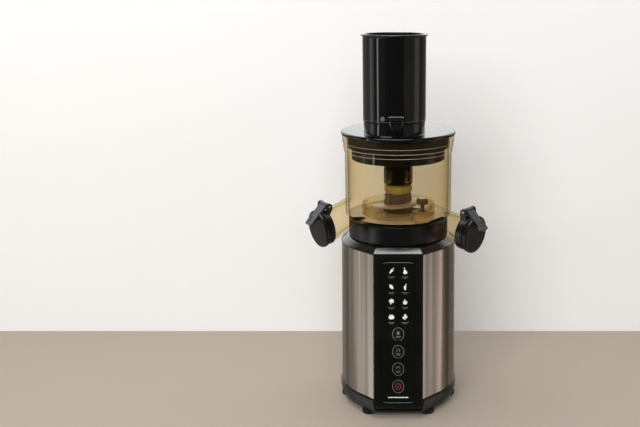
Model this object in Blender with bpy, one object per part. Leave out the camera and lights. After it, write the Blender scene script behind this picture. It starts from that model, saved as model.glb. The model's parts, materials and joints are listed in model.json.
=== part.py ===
"""Upright slow juicer with a wide feed chute, built from its separate pieces.

Sizes are in millimetres and are turned into metres where a mesh is made. The origin is on the
auger's axis, on the surface that the feet stand on. +X is the user's right, -Y the front, +Z up.
"""

from math import atan2, cos, pi, radians, sin, sqrt, tan

import bmesh
import bpy
from mathutils import Matrix, Vector

MM = 0.001
GAP = 0.3

# Motor base: a round body whose front is three sides of an octagon
SKIRT_BOTTOM = 6.0
SKIRT_TOP = 24.0
SKIRT_RADIUS = 72.2
STEEL_TOP = 204.0
STEEL_RADIUS_LOW = 70.6
STEEL_RADIUS_HIGH = 68.6
STEEL_THICKNESS = 0.8
HOUSING_WALL = 2.4
PANEL_FRONT_LOW = 72.2
PANEL_FRONT_HIGH = 69.3
DECK_TOP = 211.0
DECK_RADIUS = 61.0
BODY_STEPS = 26
ROUND_STEPS = 32

# Juicing bowl
BOWL_RADIUS = 63.3
BOWL_WALL = 2.8
BOWL_FLOOR = 234.0
BOWL_FLOOR_TOP = 237.0
BOWL_RIM = 333.0
FLANGE_RADIUS = 66.2
FOOT_RING_RADIUS = 59.6

# Lid and feed chute
LID_RADIUS = 67.6
LID_TOP = 337.6
CHUTE_CENTRE = (-4.4, -20.0)
CHUTE_RADIUS = 36.1
CHUTE_WALL = 2.4
NECK_RADIUS = 35.4
SEAM = 353.8
CHUTE_TOP = 450.0

# Spouts: direction from above, slope, height at the axis, distance to the mouth, length of the black band
SPOUT_RADIUS = 17.4
SPOUT_BORE = 14.9
NOZZLE_RADIUS = 17.7
LEFT_SPOUT = {"azimuth": 213.0, "slope": 18.5, "height": 268.0, "reach": 110.5, "mouth_slope": 8.0, "band": 7.4}
RIGHT_SPOUT = {"azimuth": -37.0, "slope": 6.0, "height": 239.0, "reach": 106.0, "mouth_slope": 6.0, "band": 10.6}
CAP_RADIUS = 22.0
CAP_PIVOT = (-8.5, 25.5)
STRAP_START = (-9.0, 28.0)
STRAP_END = (16.0, 8.4)
STRAP_WIDTH = 15.0
STRAP_THICKNESS = 2.6
HINGE_PIN = 1.6
HINGE_BORE = 1.9

# Gear train: rotor pinion to idler, idler to the drive shaft
MODULE_FAST = 1.2
MODULE_SLOW = 1.75
PINION_TEETH = 10
IDLER_TEETH_FAST = 30
IDLER_TEETH_SLOW = 10
OUTPUT_TEETH = 34
IDLER_ANGLE = 90.0
ROTOR_DISTANCE = 18.0

# Control panel
BUTTON_HEIGHTS = (108.0, 86.2, 64.3, 42.2)
BUTTON_HALF = (6.0, 7.4)
PLATE_HALF_WIDTH = 20.3
PLATE_LOW = 20.0
PLATE_HIGH = 197.5

PLATE_DEPTH = 0.9
PLATE_PROUD = 0.15
BUTTON_PROUD = 0.5
BUTTON_FLANGE = 0.8
BUTTON_BACK = 61.3
FLANGE_BACK = 63.6
FLANGE_FRONT = 64.9

# Underside and cord inlet
FOOT_ANGLES = (-124, -56, 0, 60, 120, 180)
SCREW_ANGLES = (-90, -30, 90, 150)
FOOT_CIRCLE = 62.0
SCREW_CIRCLE = 50.0
SKIRT_FLOOR = 3.4
SKIRT_CAVITY = 66.9
HOUSING_BOTTOM = 10.0
INLET_HEIGHT = 17.0
INLET_HOLE = 6.3

# Motor and gearbox, upwards from the fan
FAN_LOW = 22.0
FAN_HIGH = 33.0
MOTOR_LOW = 36.0
MOTOR_HIGH = 116.5
MOTOR_RADIUS = 36.0
LOWER_PLATE = 119.0
UPPER_PLATE = 160.0
PLATE_STEEL = 3.5
GEARBOX_RADIUS = 57.5
PIN_RADIUS = 2.0
PIN_BORE = 2.3
SHAFT_RADIUS = 5.0
SHAFT_BORE = 5.3

# Inside the bowl
STRAINER_RADIUS = 43.5
STRAINER_WALL = 3.1
STRAINER_LOW = 237.4
STRAINER_TOP = 250.4
VALVE_ANGLE = -57.8
VALVE_HALF_ANGLE = 12.7
FLIGHT_REACH = 38.0
FLIGHT_TURNS = 1.4
STEM_RADIUS = 8.0
COLLAR_LOW = 262.4
COLLAR_TOP = 272.2
HUB_RADIUS = 17.2
HUB_BORE = 14.6
LID_SKIRT_LOW = 304.0

# Latch on the chute
LATCH_X = -2.1
LATCH_PIVOT_Z = 359.8
LATCH_BARREL = 2.0
LATCH_TIP = 345.2
LATCH_STAND_OFF = 0.5
LATCH_PIN_BORE = 1.3


for old in list(bpy.data.objects):
    bpy.data.objects.remove(old, do_unlink=True)


def material(name, colour, roughness, metallic=0.0, transmission=0.0, alpha=1.0):
    mat = bpy.data.materials.new(name)
    mat.use_nodes = True
    shader = mat.node_tree.nodes["Principled BSDF"]
    shader.inputs["Base Color"].default_value = (*colour, 1.0)
    shader.inputs["Roughness"].default_value = roughness
    shader.inputs["Metallic"].default_value = metallic
    shader.inputs["Transmission Weight"].default_value = transmission
    shader.inputs["Alpha"].default_value = alpha
    mat.diffuse_color = (*colour, alpha)
    return mat


GLOSS_BLACK = material("gloss_black", (0.012, 0.012, 0.012), 0.12)
SATIN_BLACK = material("satin_black", (0.018, 0.018, 0.017), 0.38)
STEEL = material("brushed_steel", (0.62, 0.59, 0.55), 0.3, metallic=1.0)
AMBER = material("amber_plastic", (0.62, 0.44, 0.2), 0.08, transmission=0.8, alpha=0.6)
SMOKED = material("smoked_plastic", (0.22, 0.15, 0.08), 0.12, transmission=0.6, alpha=0.8)
AUGER_BROWN = material("auger_brown", (0.16, 0.09, 0.04), 0.25)
COLLAR_YELLOW = material("collar_yellow", (0.62, 0.5, 0.12), 0.4)
SILICONE = material("silicone", (0.5, 0.5, 0.48), 0.6)
RUBBER = material("foot_rubber", (0.02, 0.02, 0.02), 0.8)
PLATED = material("plated_steel", (0.6, 0.6, 0.6), 0.25, metallic=1.0)
GEAR_NYLON = material("gear_nylon", (0.8, 0.78, 0.7), 0.5)
BOARD_GREEN = material("board_green", (0.03, 0.18, 0.07), 0.5)
BUTTON_GREY = material("button_grey", (0.05, 0.05, 0.05), 0.3)


def finish(name, mesh_data, mat, matrix=None):
    """Turns a bmesh in millimetres into an object in metres, smooth where it is round."""
    bmesh.ops.remove_doubles(mesh_data, verts=mesh_data.verts, dist=1e-4)
    bmesh.ops.scale(mesh_data, vec=(MM, MM, MM), verts=mesh_data.verts)
    bmesh.ops.recalc_face_normals(mesh_data, faces=mesh_data.faces)
    mesh = bpy.data.meshes.new(name)
    mesh_data.to_mesh(mesh)
    mesh_data.free()
    mesh.materials.append(mat)
    mesh.shade_smooth()
    mesh.set_sharp_from_angle(angle=radians(32))
    obj = bpy.data.objects.new(name, mesh)
    bpy.context.scene.collection.objects.link(obj)
    if matrix is not None:
        obj.matrix_world = matrix
    return obj


def skin(name, rings, mat, closed=False, matrix=None):
    """A solid through rings of points: capped at both ends, or closed on itself like a tyre."""
    shape = bmesh.new()
    made = [[shape.verts.new(point) for point in ring] for ring in rings]
    count = len(made[0])
    pairs = list(zip(made, made[1:]))
    if closed:
        pairs.append((made[-1], made[0]))
    else:
        shape.faces.new(list(reversed(made[0])))
        shape.faces.new(made[-1])
    for low, high in pairs:
        for i in range(count):
            j = (i + 1) % count
            shape.faces.new((low[i], low[j], high[j], high[i]))
    return finish(name, shape, mat, matrix)


def circle(radius, z, steps, centre=(0.0, 0.0)):
    return [
        (
            centre[0] + radius * cos(2 * pi * k / steps),
            centre[1] + radius * sin(2 * pi * k / steps),
            z,
        )
        for k in range(steps)
    ]


def turned(name, profile, mat, steps=36, hollow=True, centre=(0.0, 0.0), matrix=None):
    """A turned piece from (radius, height) points, up the outside and down the inside."""
    rings = [circle(radius, z, steps, centre) for radius, z in profile]
    return skin(name, rings, mat, hollow, matrix)


def along_x(rings):
    """The same rings with their axis turned from +Z to +X."""
    return [[(z, x, y) for x, y, z in ring] for ring in rings]


def prism(name, outline, z_low, z_high, mat, matrix=None):
    return skin(name, [[(x, y, z) for x, y in outline] for z in (z_low, z_high)], mat, False, matrix)


def block(name, low, high, mat, matrix=None):
    outline = [(low[0], low[1]), (high[0], low[1]), (high[0], high[1]), (low[0], high[1])]
    return prism(name, outline, low[2], high[2], mat, matrix)


def boolean(target, tool, operation="DIFFERENCE"):
    modifier = target.modifiers.new(tool.name, "BOOLEAN")
    modifier.operation = operation
    modifier.object = tool
    modifier.solver = "EXACT"
    tool.hide_render = True
    tool.display_type = "WIRE"


def pivot(name, place, *pieces):
    """An empty on a joint's axis that carries the pieces of one moving body, with their cutters."""
    empty = bpy.data.objects.new(name, None)
    empty.location = Vector(place)
    bpy.context.scene.collection.objects.link(empty)
    for piece in pieces:
        for member in [piece] + [modifier.object for modifier in piece.modifiers]:
            member.parent = empty
            member.matrix_parent_inverse = Matrix.Translation(-empty.location)


def body_outline(offset):
    """The motor base seen from above: a circle whose front is squared into octagon sides."""
    arc = [radians(-45 + 270 * k / BODY_STEPS) for k in range(BODY_STEPS + 1)]
    corner = offset * tan(pi / 8)
    points = [(offset * cos(a), offset * sin(a)) for a in arc]
    return points + [(-corner, -offset), (corner, -offset)]


def body_ring(offset, z):
    return [(x, y, z) for x, y in body_outline(offset)]


def steel_radius(z):
    share = (z - SKIRT_TOP) / (STEEL_TOP - SKIRT_TOP)
    return STEEL_RADIUS_LOW + (STEEL_RADIUS_HIGH - STEEL_RADIUS_LOW) * share


def polar(radius, degrees):
    return (radius * cos(radians(degrees)), radius * sin(radians(degrees)))


# ---------------------------------------------------------------- motor base


INLET_AXIS = Matrix.Translation((0, 0, INLET_HEIGHT * MM)) @ Matrix.Rotation(radians(-90), 4, "X")


def make_skirt():
    outer = [(67.9, SKIRT_BOTTOM), (69.4, 8.5), (SKIRT_RADIUS, 20.5), (71.9, SKIRT_TOP)]
    rings = [body_ring(offset, z) for offset, z in outer]
    rings += [body_ring(SKIRT_CAVITY, SKIRT_TOP), body_ring(SKIRT_CAVITY, SKIRT_BOTTOM + SKIRT_FLOOR)]
    skirt = skin("base_skirt", rings, SATIN_BLACK)
    half = tan(pi / 8) * steel_radius(SKIRT_TOP) - 0.35
    notch = block("cut_skirt_notch", (-half, -90, 11.0), (half, -60, 40), SATIN_BLACK)
    boolean(skirt, notch)
    for index, angle in enumerate(FOOT_ANGLES):
        centre = polar(FOOT_CIRCLE, angle)
        hole = turned(f"cut_foot_socket_{index + 1}", [(3.3, 0), (3.3, 20)], RUBBER, 14, False, centre)
        boolean(skirt, hole)
    for index, angle in enumerate(SCREW_ANGLES):
        centre = polar(SCREW_CIRCLE, angle)
        hole = turned(f"cut_screw_hole_{index + 1}", [(2.0, 0), (2.0, 20)], PLATED, 8, False, centre)
        boolean(skirt, hole)
    boolean(skirt, inlet_rod("cut_skirt_inlet"))


def inlet_rod(name):
    return turned(name, [(INLET_HOLE, 50), (INLET_HOLE, 90)], SATIN_BLACK, 14, False, matrix=INLET_AXIS)


def make_feet():
    """Rubber feet, each pressed into the floor of the skirt by its stem."""
    stem_top = SKIRT_BOTTOM + SKIRT_FLOOR + 0.25
    profile = [(8.7, 0), (9.2, 1.2), (8.6, 5.6), (2.8, 5.6), (2.8, stem_top)]
    for index, angle in enumerate(FOOT_ANGLES):
        turned(f"foot_{index + 1}", profile, RUBBER, 14, False, polar(FOOT_CIRCLE, angle))


def make_screws():
    profile = [(3.4, 3.6), (3.4, 5.6), (1.5, 5.7), (1.5, 16.0)]
    for index, angle in enumerate(SCREW_ANGLES):
        turned(f"base_screw_{index + 1}", profile, PLATED, 8, False, polar(SCREW_CIRCLE, angle))


def make_housing():
    """The plastic liner that carries the steel wrap, open at the front behind the panel."""
    step = SKIRT_TOP + 0.4
    inset = STEEL_THICKNESS + GAP
    low = steel_radius(step) - inset
    high = steel_radius(STEEL_TOP) - inset
    foot = SKIRT_CAVITY - 0.4
    foot_inside = 63.6
    outer = [(foot, HOUSING_BOTTOM), (foot, step), (low, step), (high, STEEL_TOP - 0.1)]
    inner = [(high - HOUSING_WALL, STEEL_TOP - 0.1), (foot_inside, step), (foot_inside, HOUSING_BOTTOM)]
    rings = [body_ring(offset, z) for offset, z in outer + inner]
    shell = skin("housing_shell", rings, SATIN_BLACK, closed=True)
    window = block("cut_housing_window", (-21.5, -90, 27.0), (21.5, -50, 199.0), SATIN_BLACK)
    boolean(shell, window)
    boolean(shell, inlet_rod("cut_housing_inlet"))


def make_steel():
    rings = []
    for z in (SKIRT_TOP + GAP, STEEL_TOP - 0.1):
        outer = body_outline(steel_radius(z))
        inner = body_outline(steel_radius(z) - STEEL_THICKNESS)
        # The wrap leaves the front side open: it runs from one front corner round the back.
        path_out = [outer[-1]] + outer[:-1]
        path_in = [inner[-1]] + inner[:-1]
        rings.append([(x, y, z) for x, y in path_out + path_in[::-1]])
    skin("steel_wrap", rings, STEEL)


def panel_ring(z, front, back):
    half = tan(pi / 8) * steel_radius(max(z, SKIRT_TOP)) - 0.65
    return [(-half, -front, z), (half, -front, z), (half, -back, z), (-half, -back, z)]


def make_front_panel():
    """The black column in the front side: thick in the skirt's notch, thin before the housing."""
    step = SKIRT_TOP + 0.1
    back = SKIRT_CAVITY + GAP
    rings = [
        panel_ring(11.3, 70.0, back),
        panel_ring(20.5, PANEL_FRONT_LOW, back),
        panel_ring(SKIRT_TOP - 0.6, PANEL_FRONT_LOW, back),
        panel_ring(step, PANEL_FRONT_LOW, steel_radius(step) - STEEL_THICKNESS + 0.1),
        panel_ring(STEEL_TOP - 0.1, PANEL_FRONT_HIGH, steel_radius(STEEL_TOP) - STEEL_THICKNESS + 0.05),
    ]
    panel = skin("front_panel", rings, SATIN_BLACK)
    ends = (PLATE_LOW - 0.35, PLATE_HIGH + 0.35)
    recess_rings = [plate_ring(z, 3.0, -PLATE_DEPTH, 0.35) for z in ends]
    boolean(panel, skin("cut_panel_recess", recess_rings, SATIN_BLACK))
    for index, z in enumerate(BUTTON_HEIGHTS):
        hole = oval_rod(f"cut_panel_button_{index + 1}", z, 1.2, -90, -50, SATIN_BLACK)
        boolean(panel, hole)


def panel_front(z):
    share = (z - SKIRT_TOP) / (STEEL_TOP - SKIRT_TOP)
    return PANEL_FRONT_LOW + (PANEL_FRONT_HIGH - PANEL_FRONT_LOW) * max(share, 0.0)


def plate_ring(z, ahead, behind, margin=0.0):
    """The control plate's outline at one height; ahead and behind are measured from the panel."""
    half = PLATE_HALF_WIDTH + margin
    front = panel_front(z) + ahead
    back = panel_front(z) + behind
    return [(-half, -front, z), (half, -front, z), (half, -back, z), (-half, -back, z)]


def oval_rod(name, z, margin, y_low, y_high, mat, steps=20):
    """A rod along Y with an oval section, at one button's height."""
    half_x = BUTTON_HALF[0] + margin
    half_z = BUTTON_HALF[1] + margin
    rings = []
    for y in (y_high, y_low):
        turn = [2 * pi * k / steps for k in range(steps)]
        rings.append([(half_x * cos(a), y, z + half_z * sin(a)) for a in turn])
    return skin(name, rings, mat)


def make_control_plate():
    rings = [plate_ring(z, PLATE_PROUD, GAP - PLATE_DEPTH) for z in (PLATE_LOW, PLATE_HIGH)]
    plate = skin("control_plate", rings, GLOSS_BLACK)
    for index, z in enumerate(BUTTON_HEIGHTS):
        hole = oval_rod(f"cut_plate_button_{index + 1}", z, 0.35, -90, -50, GLOSS_BLACK)
        boolean(plate, hole)


def make_buttons():
    """Each button is a cap with a flange behind it, which keeps it in, and a stem."""
    turn = [2 * pi * k / 20 for k in range(20)]
    stem = (1.5, 1.5)
    cap = BUTTON_HALF
    flange = (cap[0] + BUTTON_FLANGE, cap[1] + BUTTON_FLANGE)
    for index, z in enumerate(BUTTON_HEIGHTS):
        face = panel_front(z) + BUTTON_PROUD
        sections = (
            (stem, BUTTON_BACK),
            (stem, FLANGE_BACK),
            (flange, FLANGE_BACK),
            (flange, FLANGE_FRONT),
            (cap, FLANGE_FRONT),
            (cap, face),
        )
        rings = []
        for half, out in sections:
            rings.append([(half[0] * cos(a), -out, z + half[1] * sin(a)) for a in turn])
        button = skin(f"button_{index + 1}", rings, BUTTON_GREY)
        pivot(f"button_{index + 1}_pivot", (0, -face * MM, z * MM), button)


def make_control_board():
    """The board that carries the four switches, behind the button stems."""
    block("control_board", (-19.0, -60.2, 32.0), (19.0, -58.6, 190.0), BOARD_GREEN)


def make_top_cover():
    """The shoulder and deck that the bowl stands on, with a rim that drops into the housing."""
    rim = steel_radius(STEEL_TOP) - STEEL_THICKNESS - GAP - HOUSING_WALL - GAP
    base = STEEL_TOP + 0.2
    outer = [(rim, 197.0), (rim, base), (69.2, base), (DECK_RADIUS, DECK_TOP)]
    rings = [body_ring(offset, z) for offset, z in outer]
    cover = skin("top_cover", rings, SATIN_BLACK)
    hollow = skin(
        "cut_cover_hollow",
        [body_ring(rim - 2.2, 190.0), body_ring(rim - 2.2, 203.0), body_ring(57.0, 207.6)],
        SATIN_BLACK,
    )
    boolean(cover, hollow)
    boss = turned("add_cover_boss", [(33.0, 206.0), (33.0, 219.0), (31.5, 220.5)], SATIN_BLACK, 28, False)
    boolean(cover, boss, "UNION")
    under = turned("cut_cover_boss", [(29.5, 200.0), (29.5, 217.0)], SATIN_BLACK, 28, False)
    boolean(cover, under)
    bore = turned("cut_cover_bore", [(9.0, 190), (9.0, 230)], SATIN_BLACK, 24, False)
    boolean(cover, bore)


def make_shaft_seal():
    turned(
        "shaft_seal",
        [(8.6, 217.2), (8.6, 220.9), (11.0, 220.9), (11.0, 222.2), (5.4, 222.2), (5.4, 220.9), (6.4, 217.2)],
        SILICONE,
        20,
    )


def make_inlet():
    """The cord's inlet bush through the back of the base, with a flange on both sides of the wall."""
    start, end = 60.2, 82.5
    waist = INLET_HOLE - 0.4
    inner_flange = [(7.2, start), (7.2, 62.5), (waist, 62.5)]
    outer_flange = [(waist, 72.9), (8.0, 72.9), (8.0, 75.5), (7.0, 77.0), (6.0, end)]
    bore = [(4.4, end), (4.4, start)]
    turned("cord_inlet", inner_flange + outer_flange + bore, RUBBER, 14, matrix=INLET_AXIS)


# ---------------------------------------------------------------- motor and gears


def gear_outline(teeth, module, turn):
    """A spur gear with straight-sided teeth; its teeth are slimmed to run without touching."""
    pitch = teeth * module / 2
    tip = pitch + 0.85 * module
    root = pitch - 1.15 * module
    half_pitch = pi / (2 * teeth)
    half_root = half_pitch * 1.16
    half_tip = half_pitch * 0.42
    points = []
    for k in range(teeth):
        middle = turn + 2 * pi * k / teeth
        for radius, angle in (
            (root, -half_root),
            (tip, -half_tip),
            (tip, half_tip),
            (root, half_root),
        ):
            points.append((radius * cos(middle + angle), radius * sin(middle + angle)))
    return points


def moved(outline, centre):
    return [(x + centre[0], y + centre[1]) for x, y in outline]


def gear_centres():
    """Where the idler and the rotor stand, from the centre distances that their teeth set."""
    slow = MODULE_SLOW * (IDLER_TEETH_SLOW + OUTPUT_TEETH) / 2
    fast = MODULE_FAST * (PINION_TEETH + IDLER_TEETH_FAST) / 2
    idler = polar(slow, IDLER_ANGLE)
    # Law of cosines: the rotor is at ROTOR_DISTANCE from the drive shaft, and fast from the idler.
    swing = (slow**2 + ROTOR_DISTANCE**2 - fast**2) / (2 * slow * ROTOR_DISTANCE)
    angle = radians(IDLER_ANGLE) - atan2(sqrt(1 - swing**2), swing)
    rotor = (ROTOR_DISTANCE * cos(angle), ROTOR_DISTANCE * sin(angle))
    return idler, rotor


def meshing_turn(teeth, towards):
    """The turn that puts a tooth gap on the line to the neighbour's tooth."""
    return towards + pi / teeth


def make_gears():
    idler, rotor = gear_centres()
    to_idler = radians(IDLER_ANGLE)
    idler_to_rotor = atan2(rotor[1] - idler[1], rotor[0] - idler[0])

    output = prism("output_gear", gear_outline(OUTPUT_TEETH, MODULE_SLOW, to_idler), 141.0, 151.0, GEAR_NYLON)
    output_bore = [(SHAFT_BORE, 130), (SHAFT_BORE, 160)]
    boolean(output, turned("cut_output_bore", output_bore, GEAR_NYLON, 24, False))

    slow = gear_outline(IDLER_TEETH_SLOW, MODULE_SLOW, meshing_turn(IDLER_TEETH_SLOW, to_idler + pi))
    gear = prism("idler_gear", moved(slow, idler), 134.0, 153.0, GEAR_NYLON)
    fast = gear_outline(IDLER_TEETH_FAST, MODULE_FAST, idler_to_rotor)
    boolean(gear, prism("add_idler_wheel", moved(fast, idler), 129.0, 137.0, GEAR_NYLON), "UNION")
    idler_bore = [(PIN_BORE, 120), (PIN_BORE, 160)]
    boolean(gear, turned("cut_idler_bore", idler_bore, GEAR_NYLON, 16, False, idler))
    pin_ends = (LOWER_PLATE + 2.5, UPPER_PLATE + 6.0)
    turned("idler_pin", [(PIN_RADIUS, z) for z in pin_ends], PLATED, 16, False, idler)
    pivot("idler_pivot", (idler[0] * MM, idler[1] * MM, 0), gear)

    turn = meshing_turn(PINION_TEETH, idler_to_rotor + pi)
    teeth = gear_outline(PINION_TEETH, MODULE_FAST, turn)
    pinion = prism("rotor_pinion", moved(teeth, rotor), 128.5, 137.5, PLATED)
    pinion_bore = [(PIN_BORE, 120), (PIN_BORE, 150)]
    boolean(pinion, turned("cut_pinion_bore", pinion_bore, PLATED, 16, False, rotor))
    return pinion


def make_motor(pinion):
    """The motor's can, and its shaft with the fan below and the pinion above."""
    rotor = gear_centres()[1]
    shaft = turned("rotor_shaft", [(PIN_RADIUS, 20.0), (PIN_RADIUS, 140.0)], PLATED, 16, False, rotor)
    bore = PIN_BORE + 0.1
    can = [
        (MOTOR_RADIUS - 2.0, MOTOR_LOW),
        (MOTOR_RADIUS, MOTOR_LOW + 2.0),
        (MOTOR_RADIUS, MOTOR_HIGH - 4.5),
        (MOTOR_RADIUS - 5.0, MOTOR_HIGH),
        (bore, MOTOR_HIGH),
        (bore, MOTOR_LOW),
    ]
    turned("motor_can", can, PLATED, 24, True, rotor)
    fan = turned("cooling_fan", [(7.0, FAN_LOW), (7.0, FAN_HIGH)], SATIN_BLACK, 20, False, rotor)
    middle = (FAN_LOW + FAN_HIGH) / 2
    hub = Matrix.Translation((rotor[0] * MM, rotor[1] * MM, middle * MM))
    blades = 5
    for blade in range(blades):
        frame = hub @ Matrix.Rotation(2 * pi * blade / blades, 4, "Z") @ Matrix.Rotation(radians(32), 4, "X")
        vane = block(f"add_fan_blade_{blade + 1}", (5.0, -5.0, -0.6), (30.0, 5.0, 0.6), SATIN_BLACK, frame)
        boolean(fan, vane, "UNION")
    fan_bore = [(PIN_BORE, 10), (PIN_BORE, 50)]
    boolean(fan, turned("cut_fan_bore", fan_bore, SATIN_BLACK, 16, False, rotor))
    pivot("rotor_pivot", (rotor[0] * MM, rotor[1] * MM, 0), shaft, pinion, fan)


def make_gearbox():
    """Two plates, the lower one with the posts that hold them apart, and the shaft's bearings."""
    idler, rotor = gear_centres()
    lower_top = LOWER_PLATE + PLATE_STEEL
    lower_profile = [(GEARBOX_RADIUS, LOWER_PLATE), (GEARBOX_RADIUS, lower_top)]
    lower = turned("gearbox_lower_plate", lower_profile, PLATED, 24, False)
    post_profile = [(4.0, LOWER_PLATE + 1.0), (4.0, UPPER_PLATE - GAP)]
    for index, angle in enumerate((-150, -30, 30, 150)):
        post = turned(f"add_gearbox_post_{index + 1}", post_profile, PLATED, 8, False, polar(51.0, angle))
        boolean(lower, post, "UNION")
    boolean(lower, turned("cut_rotor_hole", [(7.0, 110), (7.0, 130)], PLATED, 20, False, rotor))
    idler_seat = [(PIN_BORE, LOWER_PLATE + 1.9), (PIN_BORE, 130)]
    boolean(lower, turned("cut_idler_seat", idler_seat, PLATED, 16, False, idler))
    cup_floor = LOWER_PLATE + 4.0
    cup_top = cup_floor + 4.4
    cup = turned("add_lower_cup", [(11.5, LOWER_PLATE + 2.0), (11.5, cup_top)], PLATED, 20, False)
    boolean(lower, cup, "UNION")
    boolean(lower, turned("cut_lower_cup", [(9.0, cup_floor), (9.0, 140)], PLATED, 20, False))
    make_bearing("lower_bearing", 8.7, cup_floor + 0.4, cup_top - 0.2)

    upper_top = UPPER_PLATE + PLATE_STEEL
    upper_profile = [(GEARBOX_RADIUS, UPPER_PLATE), (GEARBOX_RADIUS, upper_top)]
    upper = turned("gearbox_upper_plate", upper_profile, PLATED, 24, False)
    collar_top = UPPER_PLATE + 12.0
    seat = UPPER_PLATE + 5.0
    collar = turned("add_upper_collar", [(14.0, UPPER_PLATE + 2.0), (14.0, collar_top)], PLATED, 20, False)
    boolean(upper, collar, "UNION")
    boolean(upper, turned("cut_upper_seat", [(11.3, seat), (11.3, 180)], PLATED, 20, False))
    boolean(upper, turned("cut_upper_hole", [(7.0, 150), (7.0, 180)], PLATED, 20, False))
    boolean(upper, turned("cut_upper_idler", [(PIN_BORE, 150), (PIN_BORE, 180)], PLATED, 16, False, idler))
    make_bearing("upper_bearing", 11.0, seat + GAP, collar_top - GAP)


def make_bearing(name, radius, low, high):
    turned(name, [(radius, low), (radius, high), (SHAFT_BORE, high), (SHAFT_BORE, low)], STEEL, 20)


def make_drive_shaft():
    """A round shaft with a hexagonal head that turns the auger."""
    shaft = turned("drive_shaft", [(SHAFT_RADIUS, 123.6), (SHAFT_RADIUS, 224.0)], PLATED, 24, False)
    head = turned("add_shaft_hex", [(6.6, 223.0), (6.6, 244.0), (5.6, 245.5)], PLATED, 6, False)
    boolean(shaft, head, "UNION")


# ---------------------------------------------------------------- bowl and spouts


def spout_frames(spout):
    """The spout's own frame on the bowl's axis, and its mouth's frame: +X runs out of each."""
    turn = Matrix.Rotation(radians(spout["azimuth"]), 4, "Z")
    axis = Matrix.Translation((0, 0, spout["height"] * MM)) @ turn
    axis = axis @ Matrix.Rotation(radians(spout["slope"]), 4, "Y")
    mouth = Matrix.Translation(axis @ Vector((spout["reach"] * MM, 0, 0))) @ turn
    mouth = mouth @ Matrix.Rotation(radians(spout["mouth_slope"]), 4, "Y")
    return axis, mouth


def rod_x(name, profile, mat, matrix, steps=32, hollow=False):
    """A turned piece whose axis is +X of the given frame, from (radius, x) points."""
    rings = along_x([circle(radius, x, steps) for radius, x in profile])
    return skin(name, rings, mat, hollow, matrix)


def make_bowl():
    """The clear bowl with its two spouts, which bend near their mouths."""
    wall = [
        (59.8, BOWL_FLOOR),
        (61.8, BOWL_FLOOR + 1.2),
        (BOWL_RADIUS, BOWL_FLOOR + 5),
        (BOWL_RADIUS, 315.0),
        (FLANGE_RADIUS - 0.6, 320.0),
        (FLANGE_RADIUS, 322.0),
        (FLANGE_RADIUS, BOWL_RIM - 1.0),
        (FLANGE_RADIUS - 1.0, BOWL_RIM),
    ]
    bowl = turned("bowl", wall, AMBER, ROUND_STEPS, False)
    for side, spout in (("left", LEFT_SPOUT), ("right", RIGHT_SPOUT)):
        axis, mouth = spout_frames(spout)
        tube = rod_x(f"add_{side}_spout", [(SPOUT_RADIUS, 50), (SPOUT_RADIUS, 125)], AMBER, axis, 24)
        boolean(bowl, tube, "UNION")
        band_start = -spout["band"] - 0.8
        end = block(f"cut_{side}_mouth", (band_start, -40, -40), (60, 40, 40), AMBER, mouth)
        boolean(bowl, end)
        nozzle = rod_x(f"add_{side}_nozzle", [(NOZZLE_RADIUS, -17), (NOZZLE_RADIUS, 0)], AMBER, mouth, 24)
        boolean(bowl, nozzle, "UNION")
    under_radius = FOOT_RING_RADIUS + 0.5
    under = [(under_radius, 190), (under_radius, BOWL_FLOOR)]
    boolean(bowl, turned("cut_bowl_under", under, AMBER, ROUND_STEPS, False))
    inside = BOWL_RADIUS - BOWL_WALL
    chamber = [(inside, BOWL_FLOOR_TOP), (inside, BOWL_RIM + 5)]
    boolean(bowl, turned("cut_bowl_chamber", chamber, AMBER, ROUND_STEPS, False))
    for side, spout in (("left", LEFT_SPOUT), ("right", RIGHT_SPOUT)):
        axis, mouth = spout_frames(spout)
        straight = [(SPOUT_BORE - 0.3, 54), (SPOUT_BORE - 0.3, spout["reach"] - 7.0)]
        boolean(bowl, rod_x(f"cut_{side}_bore", straight, AMBER, axis, 24))
        mouth_bore = rod_x(f"cut_{side}_nozzle", [(SPOUT_BORE, -13), (SPOUT_BORE, 9)], AMBER, mouth, 24)
        boolean(bowl, mouth_bore)
    boolean(bowl, turned("cut_bowl_hub", [(14.0, 220), (14.0, 245)], AMBER, 28, False))


def make_bowl_foot():
    """The black ring under the bowl, which nests over the deck's boss."""
    ring = FOOT_RING_RADIUS
    profile = [
        (ring, DECK_TOP + 0.35),
        (ring, BOWL_FLOOR - 1.2),
        (ring - 1.0, BOWL_FLOOR - 0.3),
        (13.6, BOWL_FLOOR - 0.3),
        (13.6, BOWL_FLOOR - 6.0),
        (34.0, BOWL_FLOOR - 6.0),
        (34.0, DECK_TOP + 0.35),
        (37.0, DECK_TOP + 0.35),
        (37.0, BOWL_FLOOR - 6.0),
        (ring - 3.0, BOWL_FLOOR - 6.0),
        (ring - 3.0, DECK_TOP + 0.35),
    ]
    turned("bowl_foot", profile, SATIN_BLACK, ROUND_STEPS)


def make_bowl_seal():
    """The seal round the drive shaft, pressed into the bowl's floor."""
    low, high = 228.4, 238.4
    profile = [(13.3, low), (13.3, high - 0.8), (12.0, high), (8.2, high), (8.2, low)]
    turned("bowl_seal", profile, SILICONE, 28)


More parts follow.
